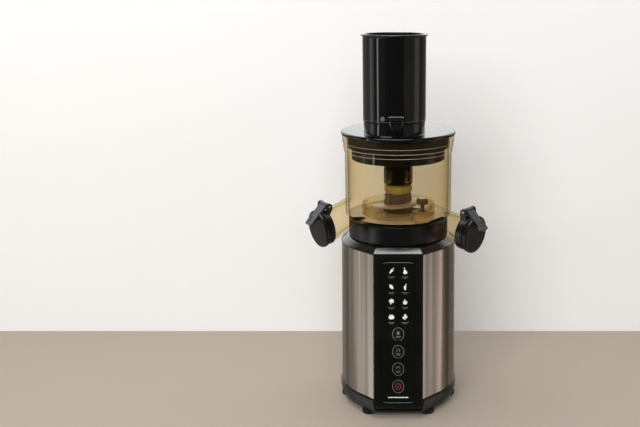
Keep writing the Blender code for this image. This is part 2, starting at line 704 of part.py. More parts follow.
def make_strainer():
    """A low slotted screen that stands in the bowl round the auger."""
    inside = STRAINER_RADIUS - STRAINER_WALL
    profile = [
        (STRAINER_RADIUS, STRAINER_LOW),
        (STRAINER_RADIUS, STRAINER_TOP - 1.2),
        (STRAINER_RADIUS - 1.5, STRAINER_TOP),
        (inside, STRAINER_TOP),
        (inside, STRAINER_LOW),
    ]
    screen = turned("juice_strainer", profile, AMBER)
    slots = 8
    for index in range(slots):
        frame = Matrix.Rotation(2 * pi * (index + 0.5) / slots, 4, "Z")
        slot = block(f"cut_strainer_slot_{index + 1}", (36, -3.2, 240.2), (48, 3.2, 247.0), AMBER, frame)
        boolean(screen, slot)


def make_outlet_valve():
    """The curved plug beside the strainer that is lifted by its post to let the juice out."""
    low, high = STRAINER_LOW, 250.0
    near, far = STRAINER_RADIUS + 1.5, 59.5
    steps = 6
    angles = [VALVE_ANGLE + VALVE_HALF_ANGLE * (2 * k / steps - 1) for k in range(steps + 1)]
    outline = [polar(far, angle) for angle in angles] + [polar(near, angle) for angle in angles[::-1]]
    plug = prism("outlet_valve", outline, low, high, SMOKED)
    centre = polar((near + far) / 2, VALVE_ANGLE)
    post = turned("add_valve_post", [(2.3, high - 2.0), (2.3, high + 9.0)], SMOKED, 12, False, centre)
    boolean(plug, post, "UNION")
    knob = [(6.2, high + 8.0), (6.8, high + 9.0), (6.8, high + 13.5), (5.2, high + 15.0)]
    boolean(plug, turned("add_valve_knob", knob, SMOKED, 16, False, centre), "UNION")


def make_spout_collar(side, spout):
    """The black band on the spout's end, with two ears that hold the cap's hinge pin."""
    mouth = spout_frames(spout)[1]
    outer = 20.2
    inner = NOZZLE_RADIUS + GAP
    start, end = -spout["band"], -1.2
    chamfer = 0.6
    profile = [
        (outer - chamfer, start),
        (outer, start + chamfer),
        (outer, end - chamfer),
        (outer - chamfer, end),
        (inner, end),
        (inner, start),
    ]
    collar = rod_x(f"{side}_spout_collar", profile, SATIN_BLACK, mouth, 24, True)
    for ear, low in (("near", -10.9), ("far", 8.3)):
        outline = [(start + 0.3, 16.1), (-3.6, 16.1), (-4.6, 26.6), (-6.6, 29.0)]
        outline += [(-10.2, 29.0), (-12.2, 26.6), (-12.2, 22.4)]
        rings = [[(x, y, z) for x, z in outline] for y in (low + 2.6, low)]
        lug = skin(f"add_{side}_{ear}_ear", rings, SATIN_BLACK, False, mouth)
        boolean(collar, lug, "UNION")
    boolean(collar, pin_rod(f"cut_{side}_ear_hole", HINGE_BORE, 20.0, mouth))
    pin_rod(f"{side}_hinge_pin", HINGE_PIN, 11.3, mouth)


def pin_rod(name, radius, half, frame):
    turn = [2 * pi * k / 16 for k in range(16)]
    rings = []
    for y in (half, -half):
        rings.append([(CAP_PIVOT[0] + radius * cos(a), y, CAP_PIVOT[1] + radius * sin(a)) for a in turn])
    return skin(name, rings, PLATED, False, frame)


def strap_frame():
    """The strap's own frame in the mouth's frame: +X runs down along the strap, +Z out of it."""
    dx = STRAP_END[0] - STRAP_START[0]
    dz = STRAP_END[1] - STRAP_START[1]
    slope = atan2(-dz, dx)
    place = Matrix.Translation((STRAP_START[0] * MM, 0, STRAP_START[1] * MM))
    return place @ Matrix.Rotation(slope, 4, "Y"), sqrt(dx * dx + dz * dz)


def make_cap(side, spout):
    """The cap on the spout's mouth, notched for the strap, and the seal under it."""
    mouth = spout_frames(spout)[1]
    profile = [(20.4, -0.7), (21.6, 0.4), (CAP_RADIUS, 4.6), (CAP_RADIUS - 1.3, 6.0)]
    cap = rod_x(f"{side}_cap", profile, SATIN_BLACK, mouth, 24)
    inside = rod_x(f"cut_{side}_cap_inside", [(18.6, -5.0), (18.6, 0.35)], SATIN_BLACK, mouth, 24)
    boolean(cap, inside)
    strap, length = strap_frame()
    half = STRAP_WIDTH / 2 + 0.4
    depth = STRAP_THICKNESS / 2 + 0.35
    notch = block(
        f"cut_{side}_cap_notch", (-10, -half, -depth), (length + 20, half, 30), SATIN_BLACK, mouth @ strap
    )
    boolean(cap, notch)
    seal = rod_x(f"{side}_cap_seal", [(12.2, -3.2), (14.0, -0.6), (14.0, 0.05)], SILICONE, mouth, 24)
    return cap, seal


def make_lever(side, spout):
    """The strap that lifts the cap, with its barrel on the hinge pin and two finger grooves."""
    mouth = spout_frames(spout)[1]
    strap, length = strap_frame()
    half = STRAP_WIDTH / 2
    thick = STRAP_THICKNESS / 2
    lever = block(f"{side}_lever", (-0.5, -half, -thick), (length, half, thick), SATIN_BLACK, mouth @ strap)
    turn = [2 * pi * k / 16 for k in range(16)]
    rings = []
    for y in (half, -half):
        rings.append([(CAP_PIVOT[0] + 3.4 * cos(a), y, CAP_PIVOT[1] + 3.4 * sin(a)) for a in turn])
    barrel = skin(f"add_{side}_barrel", rings, SATIN_BLACK, False, mouth)
    boolean(lever, barrel, "UNION")
    boolean(lever, pin_rod(f"cut_{side}_barrel", HINGE_BORE, 30.0, mouth))
    for index, start in enumerate((length - 10.0, length - 6.2)):
        groove = block(
            f"cut_{side}_groove_{index + 1}",
            (start, -half + 3.0, thick - 0.9),
            (start + 2.2, half - 3.0, thick + 5),
            SATIN_BLACK,
            mouth @ strap,
        )
        boolean(lever, groove)
    return lever


def make_spout_end(side, spout):
    """Everything on one spout's mouth; the cap, its seal and its strap swing on the hinge pin."""
    make_spout_collar(side, spout)
    cap, seal = make_cap(side, spout)
    lever = make_lever(side, spout)
    mouth = spout_frames(spout)[1]
    hinge = mouth @ Vector((CAP_PIVOT[0] * MM, 0, CAP_PIVOT[1] * MM))
    pivot(f"{side}_cap_pivot", hinge, cap, seal, lever)


# ---------------------------------------------------------------- auger


def make_auger():
    """The pressing screw: a core with one long flight, and a hexagonal socket from below."""
    profile = [(17.0, 239.0), (18.5, 241.0), (16.0, 258.0), (15.2, 262.0)]
    core = turned("auger", profile, AUGER_BROWN, 32, False)
    sections = 22
    rings = []
    for k in range(sections + 1):
        share = k / sections
        angle = 2 * pi * FLIGHT_TURNS * share
        z = 239.6 + 15.0 * share
        reach = FLIGHT_REACH - 16.0 * share
        inner = (10.0 * cos(angle), 10.0 * sin(angle))
        outer = (reach * cos(angle), reach * sin(angle))
        rings.append([(*inner, z), (*outer, z + 0.4), (*outer, z + 2.0), (*inner, z + 3.2)])
    flight = skin("add_auger_flight", rings, AUGER_BROWN)
    boolean(core, flight, "UNION")
    boolean(core, turned("cut_auger_socket", [(7.0, 230), (7.0, 246.4)], AUGER_BROWN, 6, False))


def make_auger_top():
    """The coloured collar on the auger, and the stem that turns in the lid's bush."""
    bore = STEM_RADIUS + 0.4
    profile = [
        (15.6, COLLAR_LOW),
        (16.6, COLLAR_LOW + 1.2),
        (16.6, COLLAR_TOP - 1.8),
        (15.0, COLLAR_TOP),
        (bore, COLLAR_TOP),
        (bore, COLLAR_LOW),
    ]
    turned("auger_collar", profile, COLLAR_YELLOW, 28)
    stem = [(STEM_RADIUS, COLLAR_LOW), (STEM_RADIUS, 301.0), (STEM_RADIUS - 1.2, 303.0)]
    turned("auger_stem", stem, GLOSS_BLACK, 24, False)


# ---------------------------------------------------------------- lid and chute


def make_lid():
    """The disc over the bowl, its neck for the chute, and the skirt that fits in the bowl."""
    inside = 53.0
    throat_radius = 32.9
    profile = [
        (LID_RADIUS - 0.8, BOWL_RIM + GAP),
        (LID_RADIUS, BOWL_RIM + 1.1),
        (LID_RADIUS, LID_TOP - 0.8),
        (LID_RADIUS - 0.9, LID_TOP),
    ]
    disc = turned("lid", profile, GLOSS_BLACK, ROUND_STEPS, False)
    skirt = turned("add_lid_skirt", [(55.4, LID_SKIRT_LOW), (55.4, 335.0)], GLOSS_BLACK, ROUND_STEPS, False)
    boolean(disc, skirt, "UNION")
    neck_profile = [(NECK_RADIUS, 335.0), (NECK_RADIUS, SEAM - GAP)]
    boolean(disc, turned("add_lid_neck", neck_profile, GLOSS_BLACK, 28, False, CHUTE_CENTRE), "UNION")
    chamber = [(inside, LID_SKIRT_LOW - 4.0), (inside, 330.5)]
    boolean(disc, turned("cut_lid_inside", chamber, GLOSS_BLACK, ROUND_STEPS, False))
    throat = [(throat_radius, 320.0), (throat_radius, 360.0)]
    boolean(disc, turned("cut_lid_throat", throat, GLOSS_BLACK, 28, False, CHUTE_CENTRE))
    hub = turned("add_lid_hub", [(19.5, 327.5), (19.5, 334.5)], GLOSS_BLACK, 24, False)
    boolean(disc, hub, "UNION")
    bridge = block("add_lid_bridge", (-7.0, 0.0, 328.5), (7.0, 45.0, 334.5), GLOSS_BLACK)
    boolean(disc, bridge, "UNION")


def make_lid_gasket():
    """The ring that seals the lid's skirt against the bowl's wall."""
    low, high = 318.0, 321.2
    turned("lid_gasket", [(60.0, low), (60.0, high), (55.8, high), (55.8, low)], SILICONE, ROUND_STEPS)


def make_hub_tube():
    """The tinted tube under the lid, and the bush in it that the auger's stem turns in."""
    low, high = 273.2, 327.2
    tube = [(HUB_RADIUS, low), (HUB_RADIUS, high), (HUB_BORE, high), (HUB_BORE, low)]
    turned("hub_tube", tube, SMOKED, 28)
    outer, inner = HUB_BORE - GAP, STEM_RADIUS + GAP
    turned("stem_bush", [(outer, 290.0), (outer, 299.0), (inner, 299.0), (inner, 290.0)], GEAR_NYLON, 20)


def make_hopper():
    """The feed chute: a plain tube with a lip at the mouth and a spigot that drops into the neck."""
    inside = CHUTE_RADIUS - CHUTE_WALL
    lip = 38.2
    spigot_low = 340.0
    profile = [
        (32.4, spigot_low),
        (32.6, SEAM),
        (CHUTE_RADIUS, SEAM),
        (CHUTE_RADIUS, CHUTE_TOP - 2.6),
        (lip, CHUTE_TOP - 1.7),
        (lip - 0.6, CHUTE_TOP),
        (inside + 0.7, CHUTE_TOP),
        (inside, CHUTE_TOP - 1.2),
        (inside, SEAM + 3.0),
        (30.4, SEAM),
        (30.4, spigot_low),
    ]
    tube = turned("hopper", profile, GLOSS_BLACK, 32, True, CHUTE_CENTRE)
    front = CHUTE_CENTRE[1] - CHUTE_RADIUS
    for index, x in enumerate((LATCH_X - 10.6, LATCH_X + 8.0)):
        low = (x, front - 4.4, 356.4)
        high = (x + 2.6, front + 2.2, 363.0)
        boolean(tube, block(f"add_latch_ear_{index + 1}", low, high, GLOSS_BLACK), "UNION")
    boolean(tube, latch_rod("cut_latch_ear", LATCH_PIN_BORE, 15.0))
    pin = latch_rod("latch_pin", LATCH_PIN_BORE - GAP, 10.4)
    pivot("hopper_pivot", (CHUTE_CENTRE[0] * MM, CHUTE_CENTRE[1] * MM, SEAM * MM), tube, pin)


def latch_axis():
    """Where the latch's pin runs, seen along X: its depth and its height."""
    return CHUTE_CENTRE[1] - CHUTE_RADIUS - LATCH_STAND_OFF - LATCH_BARREL, LATCH_PIVOT_Z


def latch_rod(name, radius, half):
    y, z = latch_axis()
    turn = [2 * pi * k / 14 for k in range(14)]
    rings = []
    for x in (LATCH_X - half, LATCH_X + half):
        rings.append([(x, y + radius * cos(a), z + radius * sin(a)) for a in turn])
    return skin(name, rings, PLATED)


def make_latch():
    """A clip hanging from a barrel on the chute, with its tip before the neck below the seam."""
    y, z = latch_axis()
    half_top = 7.6
    half_tip = 4.6
    shoulder = 351.0
    outline = [
        (-half_top, LATCH_PIVOT_Z),
        (-half_top, shoulder),
        (-half_tip, LATCH_TIP),
        (half_tip, LATCH_TIP),
        (half_top, shoulder),
        (half_top, LATCH_PIVOT_Z),
    ]
    sides = (y + LATCH_BARREL, y - LATCH_BARREL)
    rings = [[(LATCH_X + across, side, up) for across, up in outline] for side in sides]
    clip = skin("chute_latch", rings, GLOSS_BLACK)
    boolean(clip, latch_rod("add_latch_barrel", LATCH_BARREL, half_top), "UNION")
    half = 1.1
    for index, x in enumerate((LATCH_X - 3.2, LATCH_X + 2.2)):
        low = (x - half, y - 6, 353.0)
        high = (x + half, y + 6, 356.2)
        boolean(clip, block(f"cut_latch_window_{index + 1}", low, high, GLOSS_BLACK))
    boolean(clip, latch_rod("cut_latch_bore", LATCH_PIN_BORE, 15.0))
    pivot("latch_pivot", (LATCH_X * MM, y * MM, z * MM), clip)


make_skirt()
make_feet()
make_screws()
make_housing()
make_steel()
make_front_panel()
make_control_plate()
make_buttons()
make_control_board()
make_top_cover()
make_shaft_seal()
make_inlet()
rotor_pinion = make_gears()
make_motor(rotor_pinion)
make_gearbox()
make_drive_shaft()
make_bowl()
make_bowl_foot()
make_bowl_seal()
make_strainer()
make_outlet_valve()
for side_name, side_spout in (("left", LEFT_SPOUT), ("right", RIGHT_SPOUT)):
    make_spout_end(side_name, side_spout)
make_auger()
make_auger_top()
make_lid()
make_lid_gasket()
make_hub_tube()
make_hopper()
make_latch()
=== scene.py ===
"""The looks of an upright slow juicer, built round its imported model.

Shapes are made in millimetres and turned into metres by `finish`. The origin is on the auger's axis
on the ground, -Y is the front and +Z is up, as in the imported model. A turned profile is a list of
(radius, height) points, and the numbers given to `rounded` after it round its corners in order.
"""

import json
from math import atan2, cos, hypot, pi, radians, sin, sqrt, tan

import bmesh
import bpy
from mathutils import Matrix, Vector


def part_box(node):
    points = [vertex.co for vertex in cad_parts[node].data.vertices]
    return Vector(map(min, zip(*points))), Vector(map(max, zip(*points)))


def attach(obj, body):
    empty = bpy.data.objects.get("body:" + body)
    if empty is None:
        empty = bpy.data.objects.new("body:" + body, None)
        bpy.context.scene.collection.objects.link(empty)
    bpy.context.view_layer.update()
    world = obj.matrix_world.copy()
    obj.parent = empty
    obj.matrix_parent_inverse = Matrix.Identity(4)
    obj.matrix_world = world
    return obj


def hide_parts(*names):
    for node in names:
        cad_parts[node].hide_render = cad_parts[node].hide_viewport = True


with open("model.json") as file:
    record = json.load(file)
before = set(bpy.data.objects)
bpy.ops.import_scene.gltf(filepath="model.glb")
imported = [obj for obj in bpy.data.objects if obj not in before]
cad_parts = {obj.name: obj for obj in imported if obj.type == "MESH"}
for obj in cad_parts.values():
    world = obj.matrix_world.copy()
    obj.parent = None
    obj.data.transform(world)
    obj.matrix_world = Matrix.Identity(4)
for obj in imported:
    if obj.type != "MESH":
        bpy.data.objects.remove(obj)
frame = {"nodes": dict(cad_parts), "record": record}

# A millimetre in metres, and a thousandth of a millimetre in millimetres.
MM = 0.001
MICRON = 0.001
WELD_DISTANCE = 0.5 * MICRON
# Half the side of an octagon that a circle of radius 1 fits into.
EIGHTH = tan(pi / 8)
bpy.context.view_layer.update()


def mm_box(node):
    low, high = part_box(node)
    return low / MM, high / MM


def middle_of(node):
    """The middle of a CAD node seen from above."""
    low, high = mm_box(node)
    return (low.x + high.x) / 2, (low.y + high.y) / 2


# ---- sizes in millimetres

SKIRT_LOW, SKIRT_HIGH = mm_box("base_skirt")
STEEL_LOW, STEEL_HIGH = mm_box("steel_wrap")
PANEL_LOW, PANEL_HIGH = mm_box("front_panel")
PLATE_LOW, PLATE_HIGH = mm_box("control_plate")
RING_LOW, RING_HIGH = mm_box("bowl_foot")
LATCH_LOW, LATCH_HIGH = mm_box("chute_latch")

ARC_STEPS = 144
# The most of a side that the rounding of one corner may take.
CORNER_SHARE = 0.48
SKIRT_RADIUS = SKIRT_HIGH.x
SKIRT_TOP = SKIRT_HIGH.z
STEEL_BASE_RADIUS = STEEL_HIGH.x
STEEL_TAPER = 2
STEEL_THICKNESS = 0.8
PANEL_FRONT = -PANEL_LOW.y
PANEL_TAPER = 2.9
GLASS_PROUD = 0.15
DECK_TOP = 211
DECK_RADIUS = 61
RING_RADIUS = RING_HIGH.x
BOWL_RADIUS = 63.3
BOWL_WALL = 2.8
BOWL_FLOOR_TOP = 237
BOWL_RIM = mm_box("bowl")[1].z
FLANGE_RADIUS = 66.2
LID_RADIUS = 67.6
LID_TOP = 337.6
CHUTE_CENTRE = (-4.4, -20)
CHUTE_RADIUS = 36.1
CHUTE_WALL = 2.4
CHUTE_TOP = mm_box("hopper")[1].z
NECK_RADIUS = 35.4
SEAM = 353.8
SPOUT_RADIUS = 17.4
SPOUT_BORE = 14.9
SPOUT_BEND = 24
SPOUTS = {
    "left": {"azimuth": 213, "slope": 18.5, "height": 268, "reach": 110.5, "mouth_slope": 8, "band": 7.4},
    "right": {"azimuth": -37, "slope": 6, "height": 239, "reach": 106, "mouth_slope": 6, "band": 10.6},
}
CAP_RADIUS = 21.85
CAP_PIVOT = (-8.5, 25.5)
STRAP_START = (-9, 28)
STRAP_END = (16, 8.4)
STRAP_WIDTH = 15
BUTTON_HEIGHTS = (108, 86.2, 64.3, 42.2)
BUTTON_HALF = (6, 7.4)
MARK_LIFT = 0.06
MARK_THICKNESS = 0.05
VALVE_ANGLE = -57.8
LATCH_X = (LATCH_LOW.x + LATCH_HIGH.x) / 2
LATCH_BARREL = 2
LATCH_WAIST = 351.2
LATCH_WINDOWS = (352.4, 356.4)
EARS = (356.4, 363)
LATCH_PIVOT = ((LATCH_LOW.y + LATCH_HIGH.y) / 2, LATCH_HIGH.z - LATCH_BARREL)


# ---- materials


def feed(node, inputs):
    """Links or sets each input of a node: to another node's output, a number or a colour."""
    for key, value in inputs.items():
        socket = node.inputs[key]
        if isinstance(value, bpy.types.NodeSocket):
            socket.id_data.links.new(value, socket)
        elif socket.type == "RGBA":
            socket.default_value = (*value, 1)
        else:
            socket.default_value = value


def add(nodes, kind, output, inputs=(), **settings):
    """Adds a node with its settings and inputs, and returns one of its outputs."""
    node = nodes.new("ShaderNode" + kind)
    for key, value in settings.items():
        setattr(node, key, value)
    feed(node, dict(inputs))
    return node.outputs[output]


def new_material(name):
    mat = bpy.data.materials.new(name)
    mat.use_nodes = True
    nodes = mat.node_tree.nodes
    return mat, nodes, nodes["Principled BSDF"]


def noise(nodes, scale, detail=3, stretch=(1, 1, 1), rough=0.5):
    """A noise texture over the object's own metres, stretched along an axis if asked."""
    where = add(nodes, "TexCoord", "Object")
    where = add(nodes, "Mapping", "Vector", {"Vector": where, "Scale": stretch})
    inputs = {"Vector": where, "Scale": scale, "Detail": detail, "Roughness": rough}
    return add(nodes, "TexNoise", "Fac", inputs)


def spread(nodes, source, low, high, start=0.3, end=0.7):
    """The source, from start to end, spread between two numbers."""
    inputs = {"Value": source, "From Min": start, "From Max": end, "To Min": low, "To Max": high}
    return add(nodes, "MapRange", "Result", inputs)


def blend_colours(nodes, source, first, second):
    ramp = nodes.new("ShaderNodeValToRGB")
    for stop, position, colour in zip(ramp.color_ramp.elements, (0.35, 0.68), (first, second)):
        stop.position = position
        stop.color = (*colour, 1)
    feed(ramp, {"Fac": source})
    return ramp.outputs["Color"]


def mixed(nodes, share, first, second, kind="MIX"):
    inputs = {"Factor": share, "A": first, "B": second}
    return add(nodes, "Mix", "Result", inputs, data_type="RGBA", blend_type=kind)


def bump(nodes, height, strength, distance, under=()):
    """A surface normal bent by a height, on top of another bent normal if one is given."""
    inputs = {"Height": height, "Strength": strength, "Distance": distance, **dict(under)}
    return add(nodes, "Bump", "Normal", inputs)


def show_mix(nodes, output, share, first, second):
    """Sends a mix of two shaders to an output node."""
    mix = add(nodes, "MixShader", "Shader", {"Fac": share, 1: first, 2: second})
    feed(nodes[output], {"Surface": mix})


def plastic(name, dark, light, rough, grain, depth, coat=0, specular=0.5):
    """Moulded plastic: slight colour drift, roughness that varies as it is handled, and its skin."""
    mat, nodes, shader = new_material(name)
    dark, light = ([c / 1000 for c in colour] for colour in (dark, light))
    feed(shader, {
        "Base Color": blend_colours(nodes, noise(nodes, 35), dark, light),
        "Roughness": spread(nodes, noise(nodes, 60, 5), rough[0] / 100, rough[1] / 100),
        "Normal": bump(nodes, noise(nodes, grain, 2), 0.5, depth * MICRON * MM),
        "Coat Weight": coat, "Coat Roughness": 0.04, "Specular IOR Level": specular,
    })
    return mat


def brushed_steel():
    """Stainless sheet whose grain runs round the body: fine lines stretched sideways, a slight ripple, and
    upright stripes of painted reflection in its colour.
    """
    mat, nodes, shader = new_material("brushed_steel_wrap")
    grain = noise(nodes, 14, 8, (1, 1, 260), 0.75)
    tone = blend_colours(nodes, grain, (0.47, 0.435, 0.395), (0.6, 0.565, 0.52))
    ripple_and_painted_streak_noise = noise(nodes, 75, 2, (1, 1, 0.012))
    # Painted reflection: upright lighter and darker stripes in the colour stand for bands of the room seen
    # in the steel.
    painted_reflection_streaks = blend_colours(nodes, ripple_and_painted_streak_noise, (0.5, 0.47, 0.44), (1.15, 1.15, 1.15))
    ripple = {"Normal": bump(nodes, ripple_and_painted_streak_noise, 0.35, 0.0012)}
    feed(shader, {
        "Base Color": mixed(nodes, 1, tone, painted_reflection_streaks, "MULTIPLY"),
        "Roughness": spread(nodes, grain, 0.2, 0.27),
        "Metallic": 1, "Anisotropic": 0.95, "Anisotropic Rotation": 0.25,
        "Tangent": add(nodes, "Tangent", "Tangent", direction_type="RADIAL", axis="Z"),
        "Normal": bump(nodes, grain, 0.12, 0.00004, ripple),
    })
    return mat


def clear_plastic(name, tint, deep, rough, haze):
    """See-through moulded plastic. The wall is thin, so what is behind shows unbent and tinted."""
    mat, nodes, shader = new_material(name)
    feed(shader, {
        "Base Color": haze, "IOR": 1.5,
        "Roughness": spread(nodes, noise(nodes, 45, 4), *rough),
        "Normal": bump(nodes, noise(nodes, 90, 1), 0.25, 0.0002),
    })
    facing = add(nodes, "LayerWeight", "Facing", {"Blend": 0.32})
    through = add(nodes, "BsdfTransparent", "BSDF", {"Color": mixed(nodes, facing, tint, deep)})
    grazing = add(nodes, "LayerWeight", "Facing", {"Blend": 0.5})
    steep = add(nodes, "Math", "Value", {0: grazing, 1: 5}, operation="POWER")
    share = spread(nodes, steep, 0.035, 0.85, 0, 1)
    show_mix(nodes, "Material Output", share, through, shader.outputs["BSDF"])
    return mat


def plated():
    mat, nodes, shader = new_material("plated_metal")
    fine = noise(nodes, 900, 4)
    feed(shader, {
        "Base Color": blend_colours(nodes, noise(nodes, 120), (0.5, 0.5, 0.51), (0.68, 0.68, 0.69)),
        "Roughness": spread(nodes, fine, 0.18, 0.34), "Metallic": 1,
        "Normal": bump(nodes, fine, 0.2, 0.00003),
    })
    return mat


def circuit_board():
    """Green board with paler tracks."""
    mat, nodes, shader = new_material("circuit_board")
    tracks = {
        "Vector": add(nodes, "TexCoord", "Object"), "Scale": 90, "Color1": (0.02, 0.16, 0.06),
        "Color2": (0.015, 0.12, 0.045), "Mortar": (0.06, 0.3, 0.13),
    }
    feed(shader, {
        "Base Color": add(nodes, "TexBrick", "Color", tracks),
        "Roughness": spread(nodes, noise(nodes, 500), 0.3, 0.5),
    })
    return mat


def plain_surface(name, colour, one_sided=False):
    """Matt paint with a slight drift. One-sided paint is seen from its front only."""
    mat, nodes, shader = new_material(name)
    darker = tuple(c * 0.985 for c in colour)
    feed(shader, {
        "Base Color": blend_colours(nodes, noise(nodes, 3, 2), darker, colour),
        "Roughness": 0.6, "Specular IOR Level": 0.2,
    })
    if one_sided:
        behind = add(nodes, "NewGeometry", "Backfacing")
        nothing = add(nodes, "BsdfTransparent", "BSDF")
        show_mix(nodes, "Material Output", behind, shader.outputs["BSDF"], nothing)
    return mat


# Each plastic: its dark and light colour in thousandths, roughness range in percent, grains in a
# metre, their depth in thousandths of a millimetre, and where it has one its coat.
GLOSS = plastic("gloss_black_plastic", (2.2, 2.2, 2.2), (3.6, 3.6, 3.4), (4, 8), 160, 20)
SATIN = plastic("satin_black_plastic", (3, 3, 2.9), (5.2, 5.2, 5), (28, 40), 2600, 50)
# Grey for the chute's seam bead: a painted highlight.
SEAM_HIGHLIGHT_GREY = plastic("painted_seam_highlight_grey", (85, 88, 92), (120, 125, 130), (20, 30), 500, 20)
# Grey for the small button on the chute: a painted highlight.
BUMP_HIGHLIGHT_GREY = plastic("painted_highlight_bump_grey", (90, 100, 100), (140, 150, 150), (8, 16), 500, 20)
SHOULDER = plastic("shoulder_black_plastic", (3, 3, 2.9), (5, 5, 4.8), (12, 20), 900, 20, specular=1)
CAP_BLACK = plastic("cap_black_plastic", (2.8, 2.8, 2.8), (5, 5, 4.9), (22, 34), 1500, 40)
LEVER_BLACK = plastic("lever_black_plastic", (6, 6, 6), (10, 10, 9.8), (14, 22), 1500, 40, 0.6)
GLASS_BLACK = plastic("control_glass_black", (2.2, 2.2, 2), (3.4, 3.4, 3.1), (5, 9), 120, 10, 0.4)
BUTTON_BLACK = plastic("button_black", (6, 6, 5.6), (10, 10, 9.2), (16, 26), 800, 20)
PRINT_WHITE = plastic("print_white", (740, 740, 720), (880, 880, 860), (40, 55), 900, 10)
# Grey print on the panel; the same grey paints the highlight lines along the plate's edges.
PRINT_AND_HIGHLIGHT_GREY = plastic("print_and_highlight_grey", (150, 145, 130), (200, 195, 180), (40, 55), 900, 10)
PRINT_RED = plastic("print_red", (160, 28, 18), (220, 40, 28), (40, 55), 900, 10)
BROWN = plastic("auger_brown_plastic", (55, 40, 26), (95, 69, 45), (16, 28), 300, 40, 0.2)
FLIGHT = plastic("auger_flight_amber", (230, 175, 120), (310, 240, 170), (20, 32), 300, 40, 0.2)
FLOOR_AMBER = plastic("frosted_amber_floor", (370, 320, 250), (450, 400, 320), (30, 45), 500, 40)
# Pale opaque amber for the flange beads: a painted highlight.
FLANGE_HIGHLIGHT_AMBER = plastic("painted_highlight_amber_edge", (400, 350, 270), (550, 490, 390), (15, 25), 500, 30)
YELLOW = plastic("olive_yellow_plastic", (230, 190, 35), (340, 285, 60), (30, 42), 700, 30)
SILICONE = plastic("grey_silicone", (300, 300, 290), (380, 380, 365), (50, 65), 1200, 50)
DARK_SEAL = plastic("black_seal_rubber", (6, 6, 6), (11, 11, 10.5), (35, 50), 900, 40)
RUBBER = plastic("black_rubber", (6, 6, 6), (12, 12, 11.5), (55, 75), 1800, 100)
NYLON = plastic("natural_nylon", (620, 600, 520), (740, 720, 640), (40, 55), 900, 30)
STEEL = brushed_steel()
PLATED = plated()
BOARD = circuit_board()
AMBER = clear_plastic(
    "clear_amber_plastic", (0.99, 0.948, 0.855), (0.92, 0.83, 0.65), (0.02, 0.06), (0.05, 0.035, 0.015),
)
SMOKED = clear_plastic(
    "clear_smoked_plastic", (0.5, 0.46, 0.41), (0.3, 0.27, 0.24), (0.03, 0.08), (0.03, 0.026, 0.02),
)

CAD_MATERIALS = {
    "gloss_black": GLOSS,
    "satin_black": SATIN,
    "brushed_steel": STEEL,
    "amber_plastic": AMBER,
    "smoked_plastic": SMOKED,
    "auger_brown": BROWN,
    "collar_yellow": YELLOW,
    "silicone": SILICONE,
    "foot_rubber": RUBBER,
    "plated_steel": PLATED,
    "gear_nylon": NYLON,
    "board_green": BOARD,
    "button_grey": BUTTON_BLACK,
}


# ---- shape helpers


def new_object(name, data):
    obj = bpy.data.objects.new(name, data)
    bpy.context.scene.collection.objects.link(obj)
    return obj


def finish(name, shape, mat, sharp=35):
    bmesh.ops.remove_doubles(shape, verts=shape.verts, dist=WELD_DISTANCE)
    bmesh.ops.recalc_face_normals(shape, faces=shape.faces)
    bmesh.ops.scale(shape, vec=(MM, MM, MM), verts=shape.verts)
    mesh = bpy.data.meshes.new(name)
    shape.to_mesh(mesh)
    shape.free()
    mesh.materials.append(mat)
    mesh.shade_smooth()
    mesh.set_sharp_from_angle(angle=radians(sharp))
    return new_object(name, mesh)


def skin_into(shape, rings, closed=False, matrix=None):
    """Adds a solid through rings of points to a bmesh: capped, or closed on itself."""
    if matrix is not None:
        rings = [[tuple(matrix @ Vector(p)) for p in ring] for ring in rings]
    made = [[shape.verts.new(p) for p in ring] for ring in rings]
    pairs = list(zip(made, made[1:]))
    if closed:
        pairs.append((made[-1], made[0]))
    else:
        shape.faces.new(list(reversed(made[0])))
        shape.faces.new(made[-1])
    count = len(made[0])
    for low, high in pairs:
        for i in range(count):
            j = (i + 1) % count
            shape.faces.new((low[i], low[j], high[j], high[i]))


def skin(name, rings, mat, closed=False, matrix=None, sharp=35):
    shape = bmesh.new()
    skin_into(shape, rings, closed, matrix)
    return finish(name, shape, mat, sharp)


def rounded(points, radius, steps=4, closed=True):
    """A corner-rounded copy of a polyline; radius is one number, or one for each point."""
    count = len(points)
    radii = radius if isinstance(radius, (list, tuple)) else [radius] * count
    result = []
    for i, point in enumerate(points):
        if radii[i] <= 0 or (not closed and i in (0, count - 1)):
            result.append(tuple(point))
            continue
        here = Vector(point)
        before = Vector(points[i - 1]) - here
        after = Vector(points[(i + 1) % count]) - here
        cut = min(radii[i], before.length * CORNER_SHARE, after.length * CORNER_SHARE)
        start = here + before.normalized() * cut
        end = here + after.normalized() * cut
        for k in range(steps + 1):
            t = k / steps
            result.append(tuple(start * (1 - t) ** 2 + here * (2 * t * (1 - t)) + end * t ** 2))
    return result


def rectangle(low_x, low_y, high_x, high_y, radius=0, steps=4):
    return rounded([(low_x, low_y), (high_x, low_y), (high_x, high_y), (low_x, high_y)], radius, steps)


def oval(half_x, half_y, steps=28):
    turn = [2 * pi * k / steps for k in range(steps)]
    return [(half_x * cos(a), half_y * sin(a)) for a in turn]


def turned(name, profile, mat, steps=160, centre=(0, 0), closed=True):
    """A turned piece from (radius, height) points: a closed loop, or open with capped ends."""
    rings = []
    for radius, z in profile:
        rings.append([(centre[0] + x, centre[1] + y, z) for x, y in oval(radius, radius, steps)])
    return skin(name, rings, mat, closed)


def turned_x(name, profile, mat, matrix, steps=96, closed=True):
    """A turned piece about +X of a frame, from (radius, x) points."""
    rings = [[(x, y, z) for y, z in oval(radius, radius, steps)] for radius, x in profile]
    return skin(name, rings, mat, closed, matrix)


